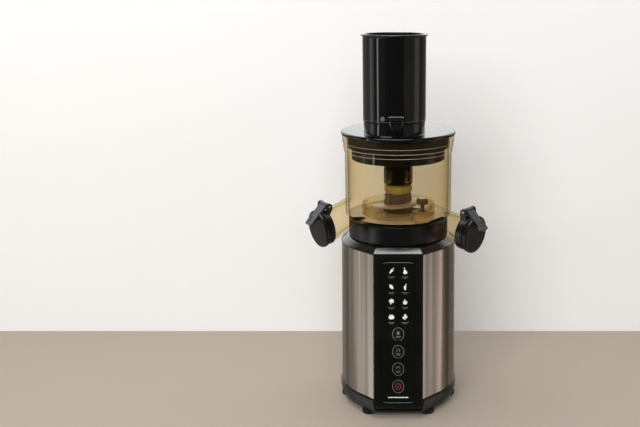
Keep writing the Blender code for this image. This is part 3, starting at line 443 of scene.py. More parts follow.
def rod_y(name, centre, sections, mat, steps, matrix=None):
    """A rod along Y about an (x, z) centre, through (y, half width, half height) sections."""
    rings = []
    for y, half_x, half_z in sections:
        rings.append([(centre[0] + x, y, centre[1] + z) for x, z in oval(half_x, half_z, steps)])
    return skin(name, rings, mat, matrix=matrix)


def boolean(target, tool, operation="DIFFERENCE"):
    """Applies a Boolean and removes the tool."""
    modifier = target.modifiers.new("cut", "BOOLEAN")
    modifier.operation = operation
    modifier.object = tool
    modifier.solver = "EXACT"
    graph = bpy.context.evaluated_depsgraph_get()
    mesh = bpy.data.meshes.new_from_object(target.evaluated_get(graph))
    target.modifiers.clear()
    target.data = mesh
    bpy.data.objects.remove(tool, do_unlink=True)


def add_block(target, low, high, radius=0, matrix=None, operation="UNION"):
    """Adds a block with rounded upright edges to a piece."""
    outline = rectangle(low[0], low[1], high[0], high[1], radius)
    rings = [[(x, y, z) for x, y in outline] for z in (low[2], high[2])]
    boolean(target, skin("block", rings, target.data.materials[0], matrix=matrix), operation)


def cut_block(target, low, high, radius=0, matrix=None):
    add_block(target, low, high, radius, matrix, "DIFFERENCE")


def cut_turned(target, profile, steps=160, centre=(0, 0), operation="DIFFERENCE", closed=False):
    """Cuts a turned solid out of a piece, or adds it."""
    boolean(target, turned("tool", profile, target.data.materials[0], steps, centre, closed), operation)


def resmooth(target, bevel=0, sharp=35, segments=2, angle=50):
    """Smooths a cut piece again, and rounds every edge sharper than the angle if it has a bevel."""
    target.data.shade_smooth()
    target.data.set_sharp_from_angle(angle=radians(sharp))
    if bevel > 0:
        modifier = target.modifiers.new("soften", "BEVEL")
        modifier.width = bevel * MM
        modifier.segments = segments
        modifier.limit_method = "ANGLE"
        modifier.angle_limit = radians(angle)
        modifier.harden_normals = True
    return target


def paint_faces_at(target, height, mat):
    """Gives a second material to the flat faces at one height that look up."""
    target.data.materials.append(mat)
    for face in target.data.polygons:
        if abs(face.center.z / MM - height) < 0.2 and face.normal.z > 0.9:
            face.material_index = 1


def place(obj, body, slot, *nodes):
    """The piece rides on a body and stands for CAD nodes if any are given; the slot is not used."""
    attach(obj, body)
    if nodes:
        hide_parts(*nodes)


def turn_z(degrees):
    return Matrix.Rotation(radians(degrees), 4, "Z")


# ---- motor base


def side_arc(radius):
    """The round part of the base seen from above, from one front corner round to the other."""
    arc = [radians(-45 + 270 * k / ARC_STEPS) for k in range(ARC_STEPS + 1)]
    return [(radius * cos(a), radius * sin(a)) for a in arc]


def body_ring(offset, z, corner_round=2.2):
    """The base seen from above: a circle whose front is squared into octagon sides."""
    points = side_arc(offset)
    corner = offset * EIGHTH
    front = [points[-1], (-corner, -offset), (corner, -offset), points[0]]
    points += rounded(front, corner_round, 5, closed=False)[1:-1]
    return [(x, y, z) for x, y in points]


def steel_radius(z):
    return STEEL_BASE_RADIUS - STEEL_TAPER * (z - SKIRT_TOP) / (STEEL_HIGH.z - SKIRT_TOP)


def panel_front(z):
    return PANEL_FRONT - PANEL_TAPER * max(0, (z - SKIRT_TOP) / (STEEL_HIGH.z - SKIRT_TOP))


def make_skirt():
    """The black base with its bulging side and the slot that the front column drops into."""
    low = SKIRT_LOW.z
    profile = rounded([
        (60, low), (67.9, low), (69.6, low + 2.6), (71.5, low + 8.5), (SKIRT_RADIUS, low + 14),
        (SKIRT_RADIUS, SKIRT_TOP - 0.4), (70.9, SKIRT_TOP), (66.9, SKIRT_TOP), (66.9, low + 3.4),
    ], [0, 0.8, 2, 4, 3, 0.8, 0.8, 0.5, 0], closed=False)
    skirt = skin("skirt_shell", [body_ring(offset, z) for offset, z in profile], SATIN)
    half = EIGHTH * steel_radius(SKIRT_TOP) - 0.35
    cut_block(skirt, (-half, -90, low + 5), (half, -60, 40))
    place(resmooth(skirt), "root", "satin_black", "base_skirt")


def make_feet():
    """Rubber feet with a rounded tread and a ring groove underneath."""
    profile = rounded([
        (0.4, 0.9), (3.6, 0.9), (4, 0), (6.4, 0), (6.8, 0.7), (7.4, 0.7), (7.8, 0), (9.2, 0),
        (8.7, 5.9), (3, 5.9), (3, 9.6), (0.4, 9.6),
    ], [0, 0.3, 0.3, 0.3, 0.2, 0.2, 0.3, 1.3, 0.6, 0.3, 0.6, 0])
    for index in range(6):
        node = f"foot_{index + 1}"
        place(turned(f"rubber_{node}", profile, RUBBER, 56, middle_of(node)), "root", "foot_rubber", node)


def make_screws():
    """Pan-head screws with a cross recess."""
    for index in range(4):
        node = f"base_screw_{index + 1}"
        low, high = mm_box(node)
        profile = rounded([
            (0.2, low.z), (3.4, low.z), (3.4, low.z + 2), (1.5, low.z + 2.1), (1.5, high.z), (0.2, high.z),
        ], [0, 1.3, 0.2, 0, 0.4, 0], 4)
        centre = middle_of(node)
        screw = turned(f"cross_screw_{index + 1}", profile, PLATED, 40, centre)
        for turn in (45, 135):
            here = Matrix.Translation((*centre, low.z)) @ turn_z(turn)
            cut_block(screw, (-2, -0.42, -1), (2, 0.42, 1.2), 0.2, here)
        resmooth(screw)
        place(screw, "root", "plated_steel", node)


def make_steel():
    """The wrap: one bent sheet from a front corner round the back to the other, edges turned in."""
    rings = []
    fold = 1.6
    low, high = STEEL_LOW.z, STEEL_HIGH.z
    for z, drop in (
        (low, 0.35), (low + 0.25, 0.1), (low + 0.7, 0), (high - 0.7, 0), (high - 0.25, 0.1), (high, 0.35),
    ):
        radius = steel_radius(z) - drop
        corner = radius * EIGHTH
        points = side_arc(radius)
        first = [(corner - 0.25, -radius + fold), (corner, -radius), points[0]]
        last = [points[-1], (-corner, -radius), (-corner + 0.25, -radius + fold)]
        outer = rounded(first, 1, 5, closed=False)[:-1] + points
        outer += rounded(last, 1, 5, closed=False)[1:]
        thin = radius - STEEL_THICKNESS
        thin_corner = thin * EIGHTH - 0.1
        inner = [(thin_corner, -radius + fold), *side_arc(thin), (-thin_corner, -radius + fold)]
        rings.append([(x, y, z) for x, y in outer + inner[::-1]])
    place(skin("steel_sheet", rings, STEEL, sharp=40), "root", "brushed_steel", "steel_wrap")


def cut_button_hole(target, height, margin):
    half_x, half_z = BUTTON_HALF
    sections = [(y, half_x + margin, half_z + margin) for y in (-50, -90)]
    boolean(target, rod_y("hole", (0, height), sections, target.data.materials[0], 64))


def make_front_column():
    """The black column in the front facet, rounded along its edges, open for plate and buttons."""
    rings = []
    base, top = PANEL_LOW.z, PANEL_HIGH.z
    bend = SKIRT_TOP - 3.5
    for z, shrink in (
        (base, 1.1), (base + 0.3, 0.5), (base + 1, 0), (bend, 0), (SKIRT_TOP, 0),
        (top - 0.8, 0), (top - 0.2, 0.25), (top, 0.8),
    ):
        half = EIGHTH * steel_radius(max(z, SKIRT_TOP)) - 0.65
        lower = max(0, (bend - z) / (bend - base))
        front = panel_front(z) - 2.2 * lower ** 1.6 - shrink
        outline = rectangle(-half, -front, half, -front + 3.6, [1, 1, 0.3, 0.3])
        rings.append([(x, y, z) for x, y in outline])
    column = skin("front_column", rings, SATIN)
    boolean(column, skin("recess", plate_rings(0.25, 3, -1, 0.3), SATIN))
    for height in BUTTON_HEIGHTS:
        cut_button_hole(column, height, 1)
    place(resmooth(column), "root", "satin_black", "front_panel")


def plate_rings(margin, ahead, behind, longer):
    """The control plate's outline swept along its tilt: rings from back to front."""
    half = PLATE_HIGH.x + margin
    outline = rectangle(-half, PLATE_LOW.z - longer, half, PLATE_HIGH.z + longer, 2.6, 6)
    return [[(x, -(panel_front(z) + out), z) for x, z in outline] for out in (behind, ahead)]


def make_control_plate():
    """The black glass, and a thin grey line near its top and bottom edges, widest in the middle: a painted
    highlight.
    """
    plate = skin("control_glass", plate_rings(0, GLASS_PROUD, -0.6, 0), GLASS_BLACK)
    for height in BUTTON_HEIGHTS:
        cut_button_hole(plate, height, 0.35)
    place(resmooth(plate, 0.22, segments=3, angle=40), "root", "gloss_black", "control_plate")
    half = 18.4
    count = 24
    # Painted highlight: grey lines tapering to their ends stand for the light the plate's rounded top and
    # bottom edges catch.
    for name, z, bend in (("upper", PLATE_HIGH.z - 2.4, -1.3), ("lower", PLATE_LOW.z + 1.2, 1.3)):
        rings = []
        for k in range(count + 1):
            x = -half + 2 * half * k / count
            middle = z + bend * (abs(x) / half) ** 6
            wide = 0.32 * (1 - (abs(x) / half) ** 4) + 0.04
            y = -(panel_front(z) + GLASS_PROUD)
            rings.append([
                (x, y + 0.05, middle - wide), (x, y - 0.1, middle - wide * 0.5),
                (x, y - 0.1, middle + wide * 0.5), (x, y + 0.05, middle + wide),
            ])
        place(skin(f"{name}_edge_highlight_line", rings, PRINT_AND_HIGHLIGHT_GREY), "root", "gloss_black")


# ---- printed marks


def flat_mark(shape, outline, centre=(0, 0), turn=0, lift=MARK_LIFT):
    """Adds a thin flat shape on the control plate: outline in (x, z) about its centre."""
    c, s = cos(radians(turn)), sin(radians(turn))
    points = [(centre[0] + c * x - s * z, centre[1] + s * x + c * z) for x, z in outline]
    rings = []
    for out in (lift, lift + MARK_THICKNESS):
        rings.append([(x, -(panel_front(z) + GLASS_PROUD + out), z) for x, z in points])
    skin_into(shape, rings)


def bar_mark(shape, wide, half, centre, lift=MARK_LIFT, radius=0.2, steps=2):
    flat_mark(shape, rectangle(-wide / 2, -half, wide / 2, half, radius, steps), centre, lift=lift)


def arch_outline(radius, wide, start, end, steps=20):
    """A band bent along part of a circle."""
    angles = [radians(start + (end - start) * k / steps) for k in range(steps + 1)]
    outer = [((radius + wide / 2) * cos(a), (radius + wide / 2) * sin(a)) for a in angles]
    inner = [((radius - wide / 2) * cos(a), (radius - wide / 2) * sin(a)) for a in angles]
    return outer + inner[::-1]


def drop_outline(width, height, lean, steps=30):
    """A pear: round below and narrow above."""
    points = []
    for k in range(steps):
        a = 2 * pi * k / steps
        narrow = 0.62 - 0.38 * sin(a)
        x = width / 2 * cos(a) * narrow * 1.35 + lean * max(0, sin(a))
        points.append((x, height / 2 * sin(a)))
    return points


def leaf_outline(length, width, steps=14):
    """A pointed leaf along +Z."""
    right = []
    for k in range(steps + 1):
        right.append((width / 2 * sin(pi * k / steps) ** 0.9, -length / 2 + length * k / steps))
    return right + [(-x, z) for x, z in right[-2:0:-1]]


def balls(*rows):
    """Marks for round blobs, each (x, z, radius). A larger one lies a hair further out."""
    return [(oval(r, r, 18), (x, z), 0, MARK_LIFT + 0.002 * r) for x, z, r in rows]


# Each icon is a list of marks: outline, centre, turn in degrees and lift, the last ones if needed.
ICONS = {
    "carrot": [
        ([(-0.5, -3.1), (0.5, -3.1), (1.35, 1.6), (0.9, 2.2), (-0.9, 2.2), (-1.35, 1.6)], (0, 0), -38),
        (leaf_outline(2.6, 0.9), (2.05, 2.6), -38),
    ],
    "aubergine": [
        (drop_outline(4.4, 5.2, -0.5), (0.2, -0.7)),
        ([(-0.4, -1.4), (0.4, -1.4), (0.3, 1.5), (-0.5, 1.5)], (-0.5, 2.6), 20),
    ],
    "bean": [(leaf_outline(6.4, 3.4), (0, 0), 38)],
    "celery": [
        ([(-0.9, -3), (0.9, -3), (1.2, 1), (0.2, 1.6), (-1.2, 1)], (0, -0.4)),
        (leaf_outline(2.6, 1), (0.9, 2.2), -22),
    ],
    "broccoli": balls((-1.2, 0.8, 1.5), (1, 1.2, 1.6), (0, 2, 1.3), (1.5, -0.2, 1.1)) + [
        ([(-0.7, -2.9), (0.5, -2.9), (0.8, 0.4), (-0.8, 0.4)], (-0.1, 0), -12),
    ],
    "apple": [(oval(2.3, 2.15), (0.1, -0.9)), (leaf_outline(2, 0.9), (-0.2, 2.1), 12)],
    "tomato": [(oval(3.1, 2.3), (0, -0.5))] + [
        (leaf_outline(1.8, 0.8), (x, 1.9), turn, 0.065) for x, turn in ((-1.5, 28), (0, 0), (1.5, -28))
    ],
    "berries": balls((-1.4, -1, 1.3), (1.2, -0.2, 1.4), (0.1, 1.7, 1.2), (-0.2, -2.4, 0.8)),
}
ICON_HEIGHTS = (185, 166.1, 147.9, 129.5)
ICON_COLUMNS = (-7.9, 7.9)
ICON_SIZE = 1.1
LINE_STEP = 1.5


def make_icons():
    """Eight plain food icons in two columns, with a pair of short bars under each."""
    for index, (name, marks) in enumerate(ICONS.items()):
        shape = bmesh.new()
        for mark in marks:
            flat_mark(shape, *mark)
        for vert in shape.verts:
            vert.co.x = ICON_COLUMNS[index % 2] + ICON_SIZE * vert.co.x
            vert.co.z = ICON_HEIGHTS[index // 2] + ICON_SIZE * vert.co.z
            vert.co.y -= panel_front(vert.co.z) - panel_front(0)
        place(finish(f"icon_{name}", shape, PRINT_WHITE), "root", "button_grey")
    shape = bmesh.new()
    for row, z in enumerate(ICON_HEIGHTS):
        for column, x in enumerate(ICON_COLUMNS):
            for line, wide in enumerate((8.8 - 1.4 * ((row + column) % 2), 4.8)):
                bar_mark(shape, wide, 0.22, (x, z - 6.9 - LINE_STEP * line))
    place(finish("label_bars", shape, PRINT_AND_HIGHLIGHT_GREY), "root", "button_grey")
    shape = bmesh.new()
    bar_mark(shape, 24, 0.55, (0, 28.2), radius=0.5, steps=4)
    place(finish("panel_foot_bar", shape, PRINT_WHITE), "root", "button_grey")


def ring_into(shape, z, half_x, half_z, wide, out):
    """A thin oval ring on the plate's face."""
    rings = []
    top = out + MARK_THICKNESS
    for grow, lift in ((0, out), (0, top), (-wide, top), (-wide, out)):
        y = -(panel_front(z) + GLASS_PROUD + lift)
        rings.append([(x, y, z + dz) for x, dz in oval(half_x + grow, half_z + grow, 64)])
    skin_into(shape, rings, closed=True)


def make_buttons():
    """Four oval caps that press in, each with a printed mark and a printed ring round it."""
    ring_mark, arch_mark = arch_outline(1.9, 0.6, -60, 240), arch_outline(2, 0.7, -20, 200)
    emblems = ((oval(1.7, 2.2), 1.6), (ring_mark, 1.6), (arch_mark, 1.2))
    taller = BUTTON_HALF[1] - BUTTON_HALF[0]
    for index, z in enumerate(BUTTON_HEIGHTS):
        number = index + 1
        body = f"button_{number}_body"
        low, high = mm_box(f"button_{number}")
        profile = rounded([
            (1.5, high.y), (1.5, -63.6), (6.8, -63.6), (6.8, -64.9), (6, -64.9), (6, low.y), (3, low.y),
        ], [0, 0.2, 0.3, 0.3, 0.1, 0.5, 0], closed=False)
        sections = [(y, half, half + (taller if half > 2 else 0)) for half, y in profile]
        cap = rod_y(f"button_cap_{number}", (0, z), sections, BUTTON_BLACK, 72)
        place(cap, body, "button_grey", f"button_{number}")
        shape = bmesh.new()
        ring_into(shape, z, BUTTON_HALF[0] + 0.95, BUTTON_HALF[1] + 1.05, 0.55, 0.04)
        place(finish(f"button_ring_{number}", shape, PRINT_AND_HIGHLIGHT_GREY), "root", "button_grey")
        shape = bmesh.new()
        face = -low.y - panel_front(z) - GLASS_PROUD + 0.02
        if index < len(emblems):
            outline, height = emblems[index]
            flat_mark(shape, outline, (0, z + height), lift=face)
            for line, wide in enumerate((6.2, 4.4)):
                bar_mark(shape, wide, 0.28, (0, z - 2.5 - LINE_STEP * line), face)
            ink = PRINT_AND_HIGHLIGHT_GREY
        else:
            ring_into(shape, z, 3.3, 4.3, 0.9, face)
            flat_mark(shape, oval(0.55, 1.7, 16), (0, z), lift=face)
            ink = PRINT_RED
        place(finish(f"button_mark_{number}", shape, ink), body, "button_grey")


def make_shoulder():
    """The black shoulder, its deck and the boss that the bowl drops over."""
    base = 204.2
    profile = rounded([
        (63, base), (69.2, base), (68.9, base + 1), (DECK_RADIUS + 0.6, DECK_TOP - 0.4),
        (DECK_RADIUS - 2, DECK_TOP), (40, DECK_TOP),
    ], [0, 0.3, 0.8, 1.2, 0.8, 0], closed=False)
    shoulder = skin("shoulder_deck", [body_ring(offset, z, 1.6) for offset, z in profile], SHOULDER)
    top = mm_box("top_cover")[1].z
    boss = rounded([(33, 208), (33, top), (12.2, top), (12.2, 208)], [0, 1.5, 0.6, 0])
    cut_turned(shoulder, boss, 120, operation="UNION", closed=True)
    cut_turned(shoulder, [(9.2, 200), (9.2, 230)], 64)
    place(resmooth(shoulder, sharp=30), "root", "satin_black", "top_cover")


def make_inlet():
    """The ribbed bush where the mains cord goes in at the back."""
    low, high = mm_box("cord_inlet")
    axis = Matrix.Translation((0, 0, (low.z + high.z) / 2)) @ turn_z(90)
    outer = [(7.2, low.y), (7.2, 62.5), (5.9, 62.5), (5.9, 72.9), (8, 72.9), (8, 75.4)]
    for rib in range(3):
        start = 76 + 2.2 * rib
        size = 7.1 - 0.35 * rib
        groove = size - 0.9
        outer += [(groove, start - 0.3), (groove, start + 0.3), (size, start + 0.5), (size, start + 1.5)]
    profile = rounded(outer + [(6, high.y), (4.4, high.y), (4.4, low.y)], 0.25, 2)
    place(turned_x("inlet_bush", profile, RUBBER, axis, 56), "root", "foot_rubber", "cord_inlet")


# ---- bowl


def spout_frames(spout):
    """The spout's own frame on the bowl's axis, and its mouth's frame, in millimetres."""
    turn = Matrix.Rotation(radians(spout["azimuth"]), 4, "Z")
    axis = Matrix.Translation((0, 0, spout["height"])) @ turn
    axis = axis @ Matrix.Rotation(radians(spout["slope"]), 4, "Y")
    mouth = Matrix.Translation(axis @ Vector((spout["reach"], 0, 0))) @ turn
    mouth = mouth @ Matrix.Rotation(radians(spout["mouth_slope"]), 4, "Y")
    return axis, mouth


def spout_stations(spout, start, past=0):
    """Frames along the spout: straight from the bowl, then bending into line with its mouth."""
    axis, mouth = spout_frames(spout)
    straight = spout["reach"] - SPOUT_BEND - start
    frames = [axis @ Matrix.Translation((start + straight * k / 3, 0, 0)) for k in range(4)]
    first = frames[-1]
    last = mouth @ Matrix.Translation((-10, 0, 0))
    p0, p3 = first.translation, last.translation
    p1 = p0 + (first.to_3x3() @ Vector((1, 0, 0))) * 5
    p2 = p3 - (last.to_3x3() @ Vector((1, 0, 0))) * 5
    for k in range(1, 5):
        t = k / 5
        point = p0 * (1 - t) ** 3 + p1 * 3 * t * (1 - t) ** 2 + p2 * 3 * t * t * (1 - t) + p3 * t ** 3
        mixed_turn = first.to_quaternion().slerp(last.to_quaternion(), t)
        frames.append(Matrix.Translation(point) @ mixed_turn.to_matrix().to_4x4())
    return frames + [last, mouth @ Matrix.Translation((past, 0, 0))]


def spout_tube(name, spout, radii, start, past, mat, steps=96):
    """A bent rod through the spout's stations; the last radius holds for all the rest."""
    rings = []
    for index, station in enumerate(spout_stations(spout, start, past)):
        radius = radii[min(index, len(radii) - 1)]
        rings.append([tuple(station @ Vector((0, y, z))) for y, z in oval(radius, radius, steps)])
    return skin(name, rings, mat)


def fine_runs(profile, step=6):
    """The same profile with points added along its long straight runs, for even shading."""
    result = [profile[0]]
    for (r0, z0), (r1, z1) in zip(profile, profile[1:]):
        parts = max(1, round(abs(z1 - z0) / step))
        result += [(r0 + (r1 - r0) * k / parts, z0 + (z1 - z0) * k / parts) for k in range(1, parts + 1)]
    return result


def make_bowl():
    """The clear bowl: a turned wall with a beaded flange, and two spouts run into it. The beads are pale
    opaque amber, a painted highlight along the flange.
    """
    floor = 234
    wall = rounded([
        (30, floor), (59.8, floor), (BOWL_RADIUS, floor + 4), (BOWL_RADIUS, 313.4), (64.6, 314.4),
        (64.6, 316.4), (63.8, 317), (63.8, 318.6), (65.6, 319.2), (65.6, 321.2), (64.6, 321.8),
        (64.6, 324.2), (FLANGE_RADIUS, 324.9), (FLANGE_RADIUS, BOWL_RIM), (40, BOWL_RIM),
    ], [0, 1.2, 3, 0.4, 0.3, 0.3, 0.2, 0.2, 0.3, 0.3, 0.2, 0.2, 0.3, 0.6, 0], 3, closed=False)
    bowl = turned("clear_bowl", fine_runs(wall), AMBER, closed=False)
    radii = (SPOUT_RADIUS + 3.6, SPOUT_RADIUS + 0.7, SPOUT_RADIUS, SPOUT_RADIUS, SPOUT_RADIUS + 0.05)
    for spout in SPOUTS.values():
        boolean(bowl, spout_tube("tube", spout, radii, 52, 0, AMBER), "UNION")
    cut_turned(bowl, [(RING_RADIUS + 0.4, 190), (RING_RADIUS + 0.4, floor + 0.02)])
    inner = BOWL_RADIUS - BOWL_WALL
    room = rounded([
        (inner - 4, BOWL_FLOOR_TOP), (inner, BOWL_FLOOR_TOP), (inner, 318), (inner + 0.6, 322),
        (inner + 0.6, BOWL_RIM + 5),
    ], [0, 3, 2, 2, 0], 5, closed=False)
    cut_turned(bowl, fine_runs(room))
    for spout in SPOUTS.values():
        boolean(bowl, spout_tube("bore", spout, (SPOUT_BORE - 0.2,), 54, 6, AMBER))
    cut_turned(bowl, [(14, 220), (14, 245)], 96)
    resmooth(bowl, sharp=28)
    paint_faces_at(bowl, BOWL_FLOOR_TOP, FLOOR_AMBER)
    place(bowl, "bowl_body", "amber_plastic", "bowl")
    # Painted highlight: pale opaque amber rings on the flange's ridges stand for the light lines they catch.
    beads = (("upper", 324.4, FLANGE_RADIUS - 0.9), ("lower", 318.9, 65.2), ("root", 313.9, 64.1))
    for name, z, radius in beads:
        edge = rounded([(radius, z - 0.3), (radius + 0.45, z), (radius, z + 0.3)], 0.1, 3)
        place(turned(f"{name}_flange_highlight_bead", edge, FLANGE_HIGHLIGHT_AMBER), "bowl_body", "amber_plastic")


def make_bowl_ring():
    """The black foot under the bowl."""
    outer, top, low = RING_RADIUS, RING_HIGH.z, RING_LOW.z
    under = top - 5.7
    profile = rounded([
        (outer - 0.4, low), (outer, low + 1), (outer, top - 1.4), (outer - 1.2, top), (13.6, top),
        (13.6, under), (34, under), (34, low), (37, low), (37, under), (outer - 3, under),
        (outer - 3, low),
    ], [0.4, 0.6, 1, 0.6, 0.3, 0.3, 0.3, 0.4, 0.4, 0.3, 0.3, 0.4], 3)
    place(turned("bowl_foot_ring", profile, SATIN), "bowl_body", "satin_black", "bowl_foot")


def make_strainer():
    """The clear ring on the bowl's floor with eight slots for the juice."""
    low, high = mm_box("juice_strainer")
    outer = high.x
    profile = rounded([
        (outer, low.z), (outer, high.z - 2.2), (outer, high.z - 0.6), (outer - 0.8, high.z),
        (outer - 2.4, high.z), (outer - 3.1, high.z - 0.8), (outer - 3.1, low.z),
    ], 0.4, 3)
    screen = turned("clear_strainer", profile, AMBER, 120)
    for index in range(8):
        cut_block(screen, (36, -3.2, 240.2), (48, 3.2, 247), matrix=turn_z(22.5 + 45 * index))
    place(resmooth(screen), "bowl_body", "amber_plastic", "juice_strainer")


def make_outlet_valve():
    """The curved plug before the juice spout: a clear cup with a dark brown knob on a post."""
    low, high = mm_box("outlet_valve")
    reach, near, far, top = 12.7, 45, 59.5, 250
    steps = 24
    angles = [radians(VALVE_ANGLE - reach + 2 * reach * k / steps) for k in range(steps + 1)]
    corners = [(far * cos(a), far * sin(a)) for a in angles]
    corners += [(near * cos(a), near * sin(a)) for a in angles[::-1]]
    ends = (0, steps, steps + 1, 2 * steps + 1)
    outline = rounded(corners, [3 if index in ends else 0 for index in range(len(corners))])
    cup = skin("outlet_cup", [[(x, y, z) for x, y in outline] for z in (low.z, top)], AMBER)
    place(resmooth(cup, 0.5, segments=3, angle=40), "bowl_body", "amber_plastic", "outlet_valve")
    middle = (near + far) / 2
    centre = (middle * cos(radians(VALVE_ANGLE)), middle * sin(radians(VALVE_ANGLE)))
    profile = rounded([
        (0.3, top + 0.1), (4.6, top + 0.1), (4.6, top + 1.2), (2.3, top + 2), (2.3, top + 8),
        (6.2, top + 8.2), (6.8, top + 9.4), (6.8, high.z - 1.6), (5.2, high.z), (0.3, high.z),
    ], [0, 0.3, 0.3, 0.6, 0.6, 0.4, 0.6, 1.2, 0.8, 0])
    place(turned("outlet_knob", profile, BROWN, 64, centre), "bowl_body", "satin_black")


# ---- spout ends and caps


def make_spout_end(side, spout):
    """The black band on the spout, its two ears and the pin between them."""
    mouth = spout_frames(spout)[1]
    outer = 20.2
    inner = SPOUT_RADIUS + 0.6
    start = -spout["band"]
    profile = rounded([
        (inner, start), (outer - 0.2, start), (outer, start + 1), (outer, -4.2), (outer - 0.5, -3.8),
        (outer - 0.5, -3.2), (outer, -2.8), (outer, -1.2), (inner, -1.2),
    ], [0.2, 0.6, 0.4, 0.2, 0.1, 0.1, 0.2, 0.5, 0.2], 3)
    band = turned_x(f"{side}_spout_band", profile, CAP_BLACK, mouth)
    outline = rounded([
        (start + 0.3, 15.6), (-3.2, 15.6), (-4.6, 26.2), (-6.4, 29.2), (-10.4, 29.2), (-12.2, 26.2),
        (-12.2, 22.4),
    ], [0, 0, 1.5, 2, 2, 1.5, 1])
    for low in (-10.9, 8.3):
        rings = [[(x, y, z) for x, z in outline] for y in (low + 2.6, low)]
        boolean(band, skin("ear", rings, CAP_BLACK, matrix=mouth), "UNION")
    place(resmooth(band, 0.35), "bowl_body", "satin_black", f"{side}_spout_collar")
    sections = [(y, radius, radius) for y, radius in ((11.3, 1.2), (11.1, 1.6), (-11.1, 1.6), (-11.3, 1.2))]
    pin = rod_y(f"{side}_cap_pin", CAP_PIVOT, sections, PLATED, 32, mouth)
    place(pin, "bowl_body", "plated_steel", f"{side}_hinge_pin")


def strap_frame():
    """The strap's frame in the mouth's frame: +X runs down along the strap, +Z out of it."""
    dx = STRAP_END[0] - STRAP_START[0]
    dz = STRAP_END[1] - STRAP_START[1]
    frame_here = Matrix.Translation((STRAP_START[0], 0, STRAP_START[1]))
    return frame_here @ Matrix.Rotation(atan2(-dz, dx), 4, "Y"), hypot(dx, dz)


def make_cap(side, spout):
    """The flat-faced cap with a rolled rim, notched where the strap lies, and the seal inside it."""
    mouth = spout_frames(spout)[1]
    body = f"{side}_cap_body"
    profile = rounded([
        (0.5, 0.5), (18.6, 0.5), (18.6, -0.7), (20.4, -0.7), (21.5, 0.9), (CAP_RADIUS, 4.4),
        (CAP_RADIUS - 0.9, 6), (0.5, 6),
    ], [0, 0.2, 0.3, 0.5, 1, 1.2, 0.8, 0], 5)
    cap = turned_x(f"{side}_cap_shell", profile, CAP_BLACK, mouth, 128)
    strap, length = strap_frame()
    half = STRAP_WIDTH / 2 + 0.4
    cut_block(cap, (-10, -half, -1.75), (length + 20, half, 30), matrix=mouth @ strap)
    place(resmooth(cap, 0.3), body, "satin_black", f"{side}_cap")
    profile = rounded([(0.5, -3.2), (12.4, -3.2), (14, -0.9), (14, 0.1), (0.5, 0.1)], [0, 0.8, 0.8, 0, 0])
    seal = turned_x(f"{side}_cap_plug", profile, SILICONE, mouth, 72)
    place(seal, body, "silicone", f"{side}_cap_seal")


def make_strap(side, spout):
    """The lever that springs the cap: a thick rounded strap with two finger grooves."""
    mouth = spout_frames(spout)[1]
    strap, length = strap_frame()
    here = mouth @ strap
    half = STRAP_WIDTH / 2
    outline = rectangle(-0.8, -half, length, half, [0.8, 2.6, 2.6, 0.8], 6)
    rings = []
    for z, shrink in ((-1.3, 0.35), (-1, 0), (0.9, 0), (1.3, 0.4)):
        ring = []
        for x, y in outline:
            ring.append((x - shrink * (1 if x > length / 2 else -1), y * (1 - shrink / half), z))
        rings.append(ring)
    lever = skin(f"{side}_strap_lever", rings, LEVER_BLACK, matrix=here)
    barrel = [(y, 3.4, 3.4) for y in (half - 0.1, -half + 0.1)]
    boolean(lever, rod_y("barrel", CAP_PIVOT, barrel, CAP_BLACK, 40, mouth), "UNION")
    for start in (length - 10.4, length - 6.2):
        cut_block(lever, (start, -half + 2.6, 0.5), (start + 2.4, half - 2.6, 6), 0.9, here)
    bore = [(y, 1.9, 1.9) for y in (20, -20)]
    boolean(lever, rod_y("bore", CAP_PIVOT, bore, CAP_BLACK, 40, mouth))
    place(resmooth(lever, 0.25), f"{side}_cap_body", "satin_black", f"{side}_lever")


# ---- auger


def make_auger():
    """The brown pressing screw, and its paler rounded flight."""
    low = mm_box("auger")[0].z
    profile = rounded([
        (7.4, low), (17, low), (18.4, low + 2), (16, 258), (15.2, 262), (7.4, 262),
    ], [0.3, 0.8, 1.5, 2, 0.6, 0.3])
    core = turned("pressing_screw", profile, BROWN, 96)
    sections = 160
    turns = 1.4
    rings = []
    for k in range(sections + 1):
        share = k / sections
        z = 239.6 + 15 * share
        reach = 38 - 16 * share
        c, s = cos(2 * pi * turns * share), sin(2 * pi * turns * share)
        section = (
            (11, 0), (reach - 0.6, 0.4), (reach, 0.9), (reach, 1.5), (reach - 0.8, 2), (11, 3.2),
        )
        rings.append([(radius * c, radius * s, z + up) for radius, up in section])
    place(resmooth(core, sharp=30), "auger_body", "auger_brown", "auger")
    place(skin("pressing_flight", rings, FLIGHT), "auger_body", "auger_brown")


def make_auger_top():
    """The olive collar with two horns and rings of different height, and the black stem."""
    low, high = mm_box("auger_collar")
    outer, low, high = high.x, low.z, high.z
    profile = rounded([
        (8.4, low), (outer - 1, low), (outer - 1, low + 1.6), (outer - 0.2, low + 2),
        (outer - 0.2, low + 3.6), (outer, low + 4), (outer, high - 2.6), (outer - 0.6, high - 1.8),
        (outer - 3.2, high - 1.6), (outer - 3.4, high), (8.4, high),
    ], 0.5, 3)
    collar = turned("olive_collar", profile, YELLOW, 96)
    for turn in (20, 200):
        add_block(collar, (outer - 5.4, -3.4, high - 2.6), (outer - 0.6, 3.4, high), 1.2, turn_z(turn))
    place(resmooth(collar, 0.3), "auger_body", "collar_yellow", "auger_collar")
    low, high = (corner.z for corner in mm_box("auger_stem"))
    profile = rounded([(0.4, low), (8, low), (8, high - 2), (6.8, high), (0.4, high)], [0, 0.4, 1, 0.8, 0])
    stem = turned("black_stem", profile, GLOSS, 64)
    for index in range(6):
        cut_block(stem, (7.3, -1, low + 10), (9.5, 1, low + 24), 0.6, turn_z(60 * index))
    place(resmooth(stem), "auger_body", "gloss_black", "auger_stem")


# ---- lid and chute


